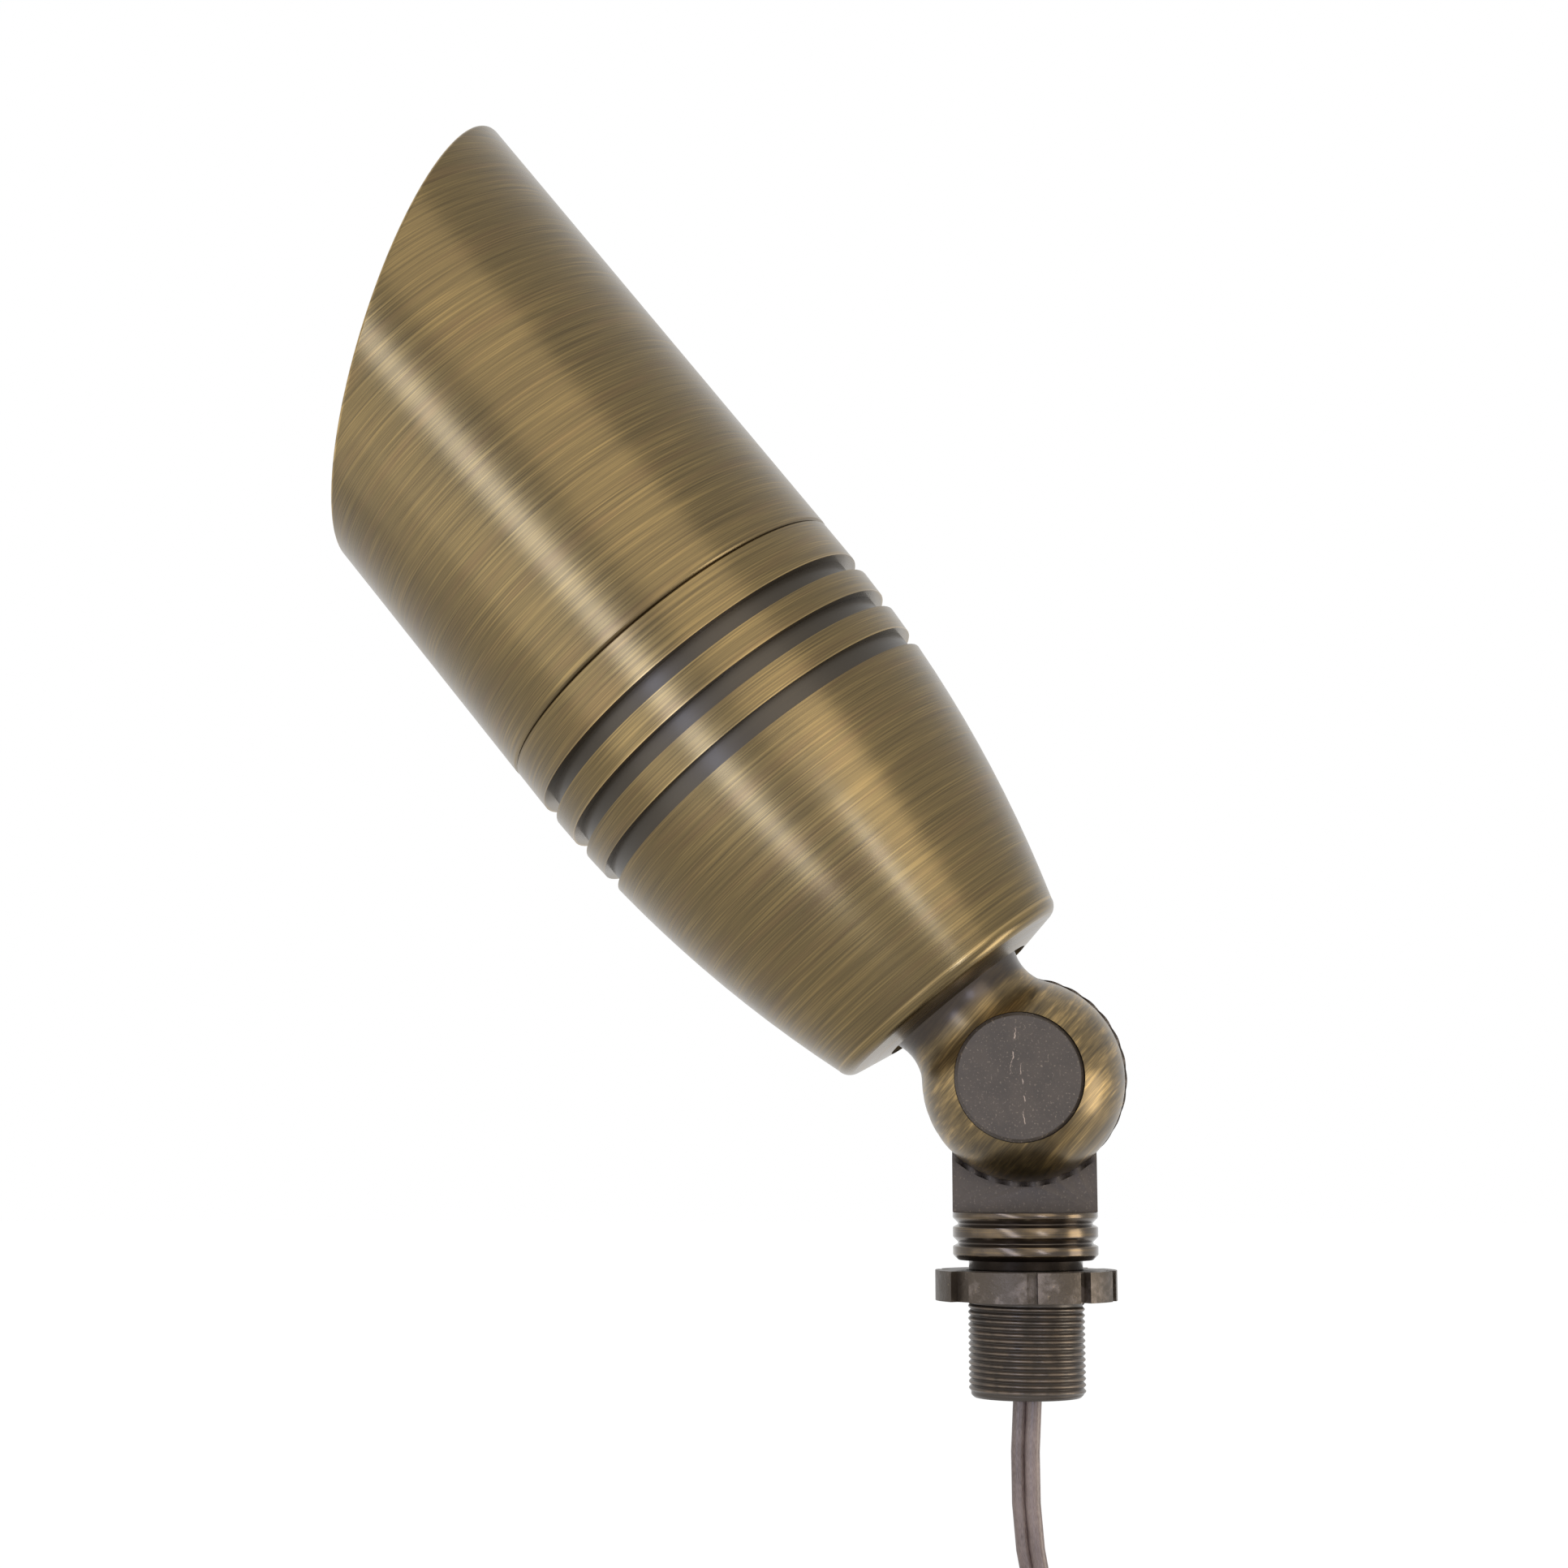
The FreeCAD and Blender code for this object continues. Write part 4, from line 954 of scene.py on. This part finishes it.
@dataclass
class KnuckleStem:
    """The stem in three pieces: the cast cheek and block, the turned rings and nipple, and the thread."""

    ring_radius: float = 12.5 * MM
    groove_radius: float = 11.6 * MM
    neck_radius: float = 9.8 * MM
    ring_lands: tuple[float, ...] = (0.9 * MM, 1.65 * MM, 1.45 * MM)
    taper: float = 0.9 * MM
    gap: float = 0.25 * MM
    shoulder: float = 0.45 * MM
    block_foot: float = 14.9 * MM
    bore_radius: float = 7.0 * MM
    bore_top: float = 7.6 * MM
    foot: float = -16.3 * MM
    foot_chamfer: float = 0.5 * MM
    wireway_radius: float = 2.6 * MM
    wireway_offset: float = 5.2 * MM
    root_radius: float = 9.60 * MM
    crest_radius: float = 9.98 * MM
    pitch: float = 1.055 * MM
    thread_top: float = -0.45 * MM
    thread_turns: int = 14
    thread_steps: int = 72
    thread_sink: float = 0.25 * MM
    thread_flat: float = 0.09 * MM
    thread_foot_share: float = 0.47
    edge_rounding: float = 0.14 * MM
    segments: int = 112
    drill_sides: int = 32
    drill_overrun: float = 2.0 * MM
    cut_lift: float = 0.01 * MM
    cut_slack: float = 0.001 * MM
    casting_weld: float = 0.002 * MM

    def profile(self) -> list[Vector]:
        """Half section of the rings, neck, nipple and bore, from the top down and back up inside.

        Returns:
            Its corners.
        """
        outline: list[Point] = [(self.ring_radius, self.block_foot)]
        top = self.block_foot
        for land in self.ring_lands[:-1]:
            foot = top - land - self.taper
            outline += [
                (self.ring_radius, top - land),
                (self.groove_radius, foot),
                (self.groove_radius, foot - self.gap),
                (self.ring_radius, foot - self.gap - self.shoulder),
            ]
            top = foot - self.gap - self.shoulder
        foot = top - self.ring_lands[-1] - self.taper
        outline += [
            (self.ring_radius, top - self.ring_lands[-1]),
            (self.groove_radius, foot),
            (self.neck_radius, foot),
            (self.neck_radius, 0.0),
            (self.root_radius, -self.foot_chamfer),
            (self.root_radius, self.foot + self.foot_chamfer),
            (self.root_radius - self.foot_chamfer, self.foot),
            (self.bore_radius, self.foot),
            (self.bore_radius, self.bore_top),
            (0.0, self.bore_top),
            (0.0, self.block_foot),
        ]
        return [Vector((radius, 0.0, height)) for radius, height in outline]

    def turning(self) -> Piece:
        """Spin the rings and the nipple, and drill the wireway.

        Returns:
            The turned piece.
        """
        piece = draw_outline("stem_turning", self.profile())
        for vertex in piece.data.vertices:
            vertex.select = vertex.co.x > self.bore_radius + 0.1 * MM
        bpy.ops.object.mode_set(mode="EDIT")
        bpy.ops.mesh.bevel(affect="VERTICES", offset=self.edge_rounding, segments=2)
        bpy.ops.object.mode_set(mode="OBJECT")
        spin_round(piece, self.segments, Vector(), UPWARDS)
        bpy.ops.object.select_all(action="DESELECT")
        bpy.ops.mesh.primitive_cylinder_add(
            vertices=self.drill_sides,
            radius=self.wireway_radius,
            depth=self.block_foot - self.bore_top + self.drill_overrun,
            location=(0.0, self.wireway_offset, (self.block_foot + self.bore_top) / 2),
        )
        drill = bpy.context.object
        apply_modifier(piece, "BOOLEAN", operation="DIFFERENCE", solver="EXACT", object=drill)
        bpy.data.objects.remove(drill)
        shade(piece, angle=24.0)
        return piece

    def casting(self) -> Piece:
        """Take the cheek and the block off a copy of the stem, above the first ring.

        Returns:
            The cast piece.
        """
        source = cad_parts["knuckle_stem"]
        piece = bpy.data.objects.new("stem_casting", source.data.copy())
        bpy.context.scene.collection.objects.link(piece)
        edit_all(piece)
        bpy.ops.mesh.remove_doubles(threshold=self.casting_weld)
        bpy.ops.mesh.select_all(action="SELECT")
        cut = UPWARDS * (self.block_foot + self.cut_lift)
        bpy.ops.mesh.bisect(
            plane_co=cut, plane_no=UPWARDS, use_fill=True, clear_inner=True, threshold=self.cut_slack
        )
        bpy.ops.object.mode_set(mode="OBJECT")
        shade(piece, angle=28.0)
        return piece

    def thread(self) -> Piece:
        """Screw the ridge's section down the nipple.

        Returns:
            The ridge, sunk a little into the nipple.
        """
        sunk = self.root_radius - self.thread_sink
        foot = self.thread_foot_share * self.pitch
        section = [
            (sunk, foot),
            (self.root_radius, foot),
            (self.crest_radius, self.thread_flat),
            (self.crest_radius, -self.thread_flat),
            (self.root_radius, -foot),
            (sunk, -foot),
        ]
        corners = [Vector((radius, 0.0, self.thread_top + height)) for radius, height in section]
        piece = draw_outline("nipple_thread", corners)
        screw_round(piece, -self.pitch, self.thread_turns, self.thread_steps)
        shade(piece, angle=30.0)
        return piece

    def build(self) -> None:
        """Model and dress the stem."""
        block_finish = CharcoalBronze("block_bronze", colour=(0.056, 0.042, 0.031), roughness=0.48).material()
        thread_finish = ThreadBronze("thread_bronze").material()
        casting = self.casting()
        casting.data.materials.clear()
        casting.data.materials.append(block_finish)
        claim(casting, "mount_stem", "bronze_knuckle", "knuckle_stem")
        turning = self.turning()
        turning.data.materials.append(TurnedBronze("ring_bronze").material())
        turning.data.materials.append(thread_finish)
        for face in turning.data.polygons:
            if face.center.z < 0.0:
                face.material_index = 1
        claim(turning, "mount_stem", "bronze_knuckle")
        thread = self.thread()
        thread.data.materials.append(thread_finish)
        claim(thread, "mount_stem", "bronze_knuckle")


# ---- lamp


@dataclass
class ReflectorLamp:
    """The lamp's faceted bowl, in place of the plain one."""

    facets: int = 36
    tiers: int = 11
    neck_radius: float = 7.5 * MM
    neck_height: float = 68.8 * MM
    bowl_radius: float = 24.6 * MM
    rim_radius: float = 25.3 * MM
    rim_height: float = 105.0 * MM
    top: float = 107.5 * MM
    wall: float = 1.4 * MM
    curve: float = 42.0 * MM
    neck_slope: float = 0.6

    def arc(self, inset: float) -> list[Point]:
        """Points of the bowl's arc from the neck up.

        Args:
            inset: How far inside the outer face.

        Returns:
            Radius and height of each point.
        """
        start = Vector((self.neck_radius - inset, self.neck_height + inset * self.neck_slope))
        finish = Vector((self.bowl_radius - inset, self.rim_height))
        chord = finish - start
        left = Vector((-chord.y, chord.x)).normalized()
        rise = math.sqrt(self.curve**2 - (chord.length / 2) ** 2)
        centre = (start + finish) / 2 + left * rise
        first = math.atan2(start.y - centre.y, start.x - centre.x)
        last = math.atan2(finish.y - centre.y, finish.x - centre.x)
        places = [first + (last - first) * step / self.tiers for step in range(self.tiers + 1)]
        return [
            (centre.x + self.curve * math.cos(angle), centre.y + self.curve * math.sin(angle))
            for angle in places
        ]

    def build(self, finish: Material) -> None:
        """Model the bowl.

        Args:
            finish: The reflective coating.
        """
        outline = self.arc(0.0)
        outline += [
            (self.rim_radius, self.rim_height),
            (self.rim_radius, self.top),
            (self.bowl_radius - self.wall, self.top),
        ]
        outline += self.arc(self.wall)[::-1]
        corners = [HEAD_TO_ROW @ Vector((radius, 0.0, height)) for radius, height in outline]
        piece = draw_outline("faceted_reflector", corners)
        spin_round(piece, self.facets, HINGE, HEAD_AXIS)
        shade(piece, angle=2.0)
        piece.data.materials.append(finish)
        claim(piece, "lamp_head", "reflector_coating", "lamp_reflector")


@dataclass
class Filament:
    """Coiled tungsten filament that stands in the lamp's capsule."""

    coil_radius: float = 0.9 * MM
    wire: float = 0.14 * MM
    sides: int = 6
    steps: int = 20
    pitch: float = 0.5 * MM
    turns: int = 9
    foot: float = 76.0 * MM

    def build(self, finish: Material) -> None:
        """Screw a small round section up the lamp's axis.

        Args:
            finish: The tungsten.
        """
        foot = Vector((self.coil_radius, 0.0, self.foot))
        corners = []
        for step in range(self.sides):
            angle = math.tau * step / self.sides
            corners.append(foot + Vector((self.wire * math.cos(angle), 0.0, self.wire * math.sin(angle))))
        piece = draw_outline("lamp_filament", corners)
        screw_round(piece, self.pitch, self.turns, self.steps)
        piece.matrix_world = HEAD_TO_ROW
        settle(piece)
        shade(piece, angle=60.0)
        piece.data.materials.append(finish)
        claim(piece, "lamp_head", "stainless")


# ---- studio


class Warmth(Enum):
    """Colour of a lamp."""

    DAYLIGHT = (0.62, 0.71, 1.0)
    NEUTRAL = (1.0, 1.0, 1.0)
    WARM = (1.0, 0.93, 0.82)


@dataclass(frozen=True)
class Softbox:
    """One area lamp, placed by its bearing about the lamp head's axis and its rise along it."""

    name: str
    bearing: float
    rise: float
    width: float
    length: float
    radiance: float
    warmth: Warmth = Warmth.NEUTRAL
    distance: float = 1.2
    aim: float = 90.0 * MM

    def build(self) -> None:
        """Place the lamp, facing its aim on the head's axis."""
        lamp = bpy.data.lights.new(self.name, "AREA")
        lamp.shape = "RECTANGLE"
        lamp.size, lamp.size_y = self.width, self.length
        lamp.color = self.warmth.value
        lamp.energy = WATTS_PER_RADIANCE * self.radiance * self.width * self.length
        bearing, rise = math.radians(self.bearing), math.radians(self.rise)
        level = TOWARDS_CAMERA * math.cos(bearing) + HEAD_SIDE * math.sin(bearing)
        away = level * math.cos(rise) + HEAD_AXIS * math.sin(rise)
        upright = (HEAD_AXIS - away * HEAD_AXIS.dot(away)).normalized()
        side = upright.cross(away)
        place = HINGE + HEAD_AXIS * self.aim + away * self.distance
        holder = bpy.data.objects.new(self.name, lamp)
        holder.matrix_world = Matrix.Translation(place) @ Matrix((side, upright, away)).transposed().to_4x4()
        holder.visible_camera = False
        bpy.context.scene.collection.objects.link(holder)


@dataclass
class Studio:
    """Camera, floor, white surround and soft lamps."""

    image_width: int = 1932
    focal_pixels: float = 3135.0
    sensor: float = 36.0
    camera_offset: Vector = field(default_factory=lambda: Vector((-6.9, -447.9, -15.5)) * MM)
    aim_offset: Vector = field(default_factory=lambda: Vector((-41.8, 0.0, 52.65)) * MM)
    floor_width: float = 8.0
    fill: float = 0.72
    floor_glow: float = 1.16

    def build(self) -> None:
        """Make the whole studio."""
        self.camera()
        self.surround()
        self.floor()
        self.lamps()

    def camera(self) -> None:
        """Place the camera where the photograph was taken from."""
        data = bpy.data.cameras.new("camera")
        data.sensor_width = self.sensor
        data.lens = self.focal_pixels / self.image_width * self.sensor
        data.clip_start = 0.01
        data.clip_end = 50.0
        holder = bpy.data.objects.new("camera", data)
        holder.location = HINGE + self.camera_offset
        sight = self.aim_offset - self.camera_offset
        holder.rotation_euler = sight.to_track_quat("-Z", "Y").to_euler()
        bpy.context.scene.collection.objects.link(holder)
        bpy.context.scene.camera = holder

    def surround(self) -> None:
        """White where it is seen, a little dimmer as light."""
        world = bpy.data.worlds.new("surround")
        bpy.context.scene.world = world
        world.use_nodes = True
        graph = Graph(world.node_tree)
        levels = {"Value": graph.seen(), "To Min": self.fill, "To Max": 1.0}
        background = graph.tree.nodes["Background"].inputs
        graph.feed(background["Strength"], graph.node("MapRange", sockets=levels))
        graph.feed(background["Color"], (1.0, 1.0, 1.0))

    def floor(self) -> None:
        """Pale floor under the coil, which keeps a soft shadow."""
        bpy.ops.object.select_all(action="DESELECT")
        bpy.ops.mesh.primitive_plane_add(size=self.floor_width, location=(0.0, 0.0, FLOOR_HEIGHT))
        piece = bpy.context.object
        piece.name = "studio_floor"
        settle(piece)
        graph = Surface("floor_paper")
        graph.set(Base_Color=(0.88, 0.88, 0.88), Roughness=0.9, Specular_IOR_Level=0.0)
        paper = Signal(graph, graph.shader.outputs[0])
        glow = graph.node("Emission", sockets={"Strength": self.floor_glow})
        share = graph.seen() * self.fill
        graph.feed(graph.output, graph.node("MixShader", sockets={0: share, 1: paper, 2: glow}))
        piece.data.materials.append(graph.material)

    def lamps(self) -> None:
        """Softboxes that draw the bands on the bronze."""
        # In order: name, bearing, rise, width, length, radiance, warmth and distance.
        boxes = (
            Softbox("window_strip", -22.0, 7.0, 0.058, 0.34, 5.6, Warmth.DAYLIGHT, 0.30),
            Softbox("left_fill", -50.0, 4.0, 0.15, 0.34, 0.9, Warmth.NEUTRAL, 0.32),
            Softbox("left_back", -78.0, 22.0, 0.30, 0.40, 0.6, Warmth.NEUTRAL, 0.60),
            Softbox("right_window", 29.0, 10.0, 0.98, 1.0, 0.85, Warmth.WARM, 1.2),
            Softbox("low_window", 19.0, -24.0, 0.09, 0.30, 8.5, Warmth.DAYLIGHT, 0.8),
            Softbox("low_warm", 37.0, -16.0, 0.34, 0.44, 1.5, Warmth.WARM, 0.9),
            Softbox("ball_glow", 80.0, -50.0, 0.09, 0.12, 4.5, Warmth.WARM, 0.22, aim=0.0),
        )
        for box in boxes:
            box.build()


# ---- assembly


GROOVE_FEET = (70.7 * MM, 78.9 * MM, 87.1 * MM)
GROOVE_WIDTH = 3.5 * MM
GROOVE_FLOOR = 33.2 * MM
LIP_RADII = (34.9 * MM, 35.3 * MM, 35.5 * MM)
BACK_RIM = (24.1 * MM, 21.5 * MM)
CAP_SCRATCHES = ((-1.6, 38.5, 45.5, 0.10), (-0.3, 30.0, 39.5, -0.06))
SEAM_HEIGHT = 98.8 * MM
SLANT = (174.4 * MM, 0.634)


def head_lips() -> tuple[Point, ...]:
    """Radius and height of the housing's worn edges: the back rim, and the upper lip of each groove."""
    lips = [(radius, foot + GROOVE_WIDTH) for foot, radius in zip(GROOVE_FEET, LIP_RADII)]
    return (BACK_RIM, *lips)


def dress(node: str, material: Material) -> None:
    """Give a node of the frame a material."""
    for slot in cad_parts[node].material_slots:
        slot.material = material


def dress_frame() -> None:
    """Give every node of the frame its finish."""
    floors = tuple((foot, foot + GROOVE_WIDTH, GROOVE_FLOOR) for foot in GROOVE_FEET)
    weave = Pattern(1800.0, weight=0.55)
    groups = (
        (
            BrushedBronze("housing_bronze", lips=head_lips(), recesses=floors, seam=SEAM_HEIGHT),
            ("rear_housing",),
        ),
        (
            BrushedBronze("shield_bronze", seam=SEAM_HEIGHT, slant=SLANT),
            ("glare_shield", "lens_retaining_ring"),
        ),
        (BallBronze("ball_bronze"), ("knuckle_head", "neck_gasket")),
        (CharcoalBronze("cap_bronze", scratches=CAP_SCRATCHES, specks=0.6), ("pivot_cap",)),
        (CastBronze("cast_bronze"), ("locknut", "neck_lock_nut")),
        (
            PlainFinish("seal_rubber", (0.022, 0.022, 0.023), 0.55),
            ("knuckle_o_ring", "cap_o_ring", "shield_o_rings", "lens_gasket", "cable_bushing"),
        ),
        (
            PlainFinish("stainless", (0.60, 0.59, 0.57), 0.30, metallic=1.0),
            ("pivot_screw", "pivot_washer", "socket_bracket", "socket_screws", "lamp_pins", "lamp_seat_ring"),
        ),
        (PlainFinish("ceramic", (0.80, 0.77, 0.71), 0.45), ("lamp_socket", "lamp_base")),
        (
            PlainFinish("lead_sleeve", (0.72, 0.69, 0.62), 0.7, mottle=0.2, cloud=weave),
            ("supply_leads", "socket_leads"),
        ),
        (ClearGlass("lens_glass"), ("lens",)),
        (ClearGlass("lamp_glass", (0.98, 0.985, 0.99)), ("lamp_capsule", "lamp_cover_glass")),
    )
    for finish, nodes in groups:
        material = finish.material()
        for node in nodes:
            dress(node, material)
            log.info("%s wears %s", node, finish.name)


def main() -> None:
    """Build the scene."""
    logging.basicConfig(level=logging.INFO, format="%(name)s: %(message)s")
    bpy.context.scene.view_settings.view_transform = "Standard"
    Studio().build()
    SupplyCord().build(CordVinyl("cord_vinyl").material())
    dress_frame()
    KnuckleStem().build()
    mirror = PlainFinish("reflector_coating", (0.86, 0.88, 0.92), 0.08, metallic=1.0, mottle=0.05)
    ReflectorLamp().build(mirror.material())
    Filament().build(PlainFinish("tungsten", (0.32, 0.31, 0.30), 0.35, metallic=1.0).material())


if __name__ == "__main__":
    main()
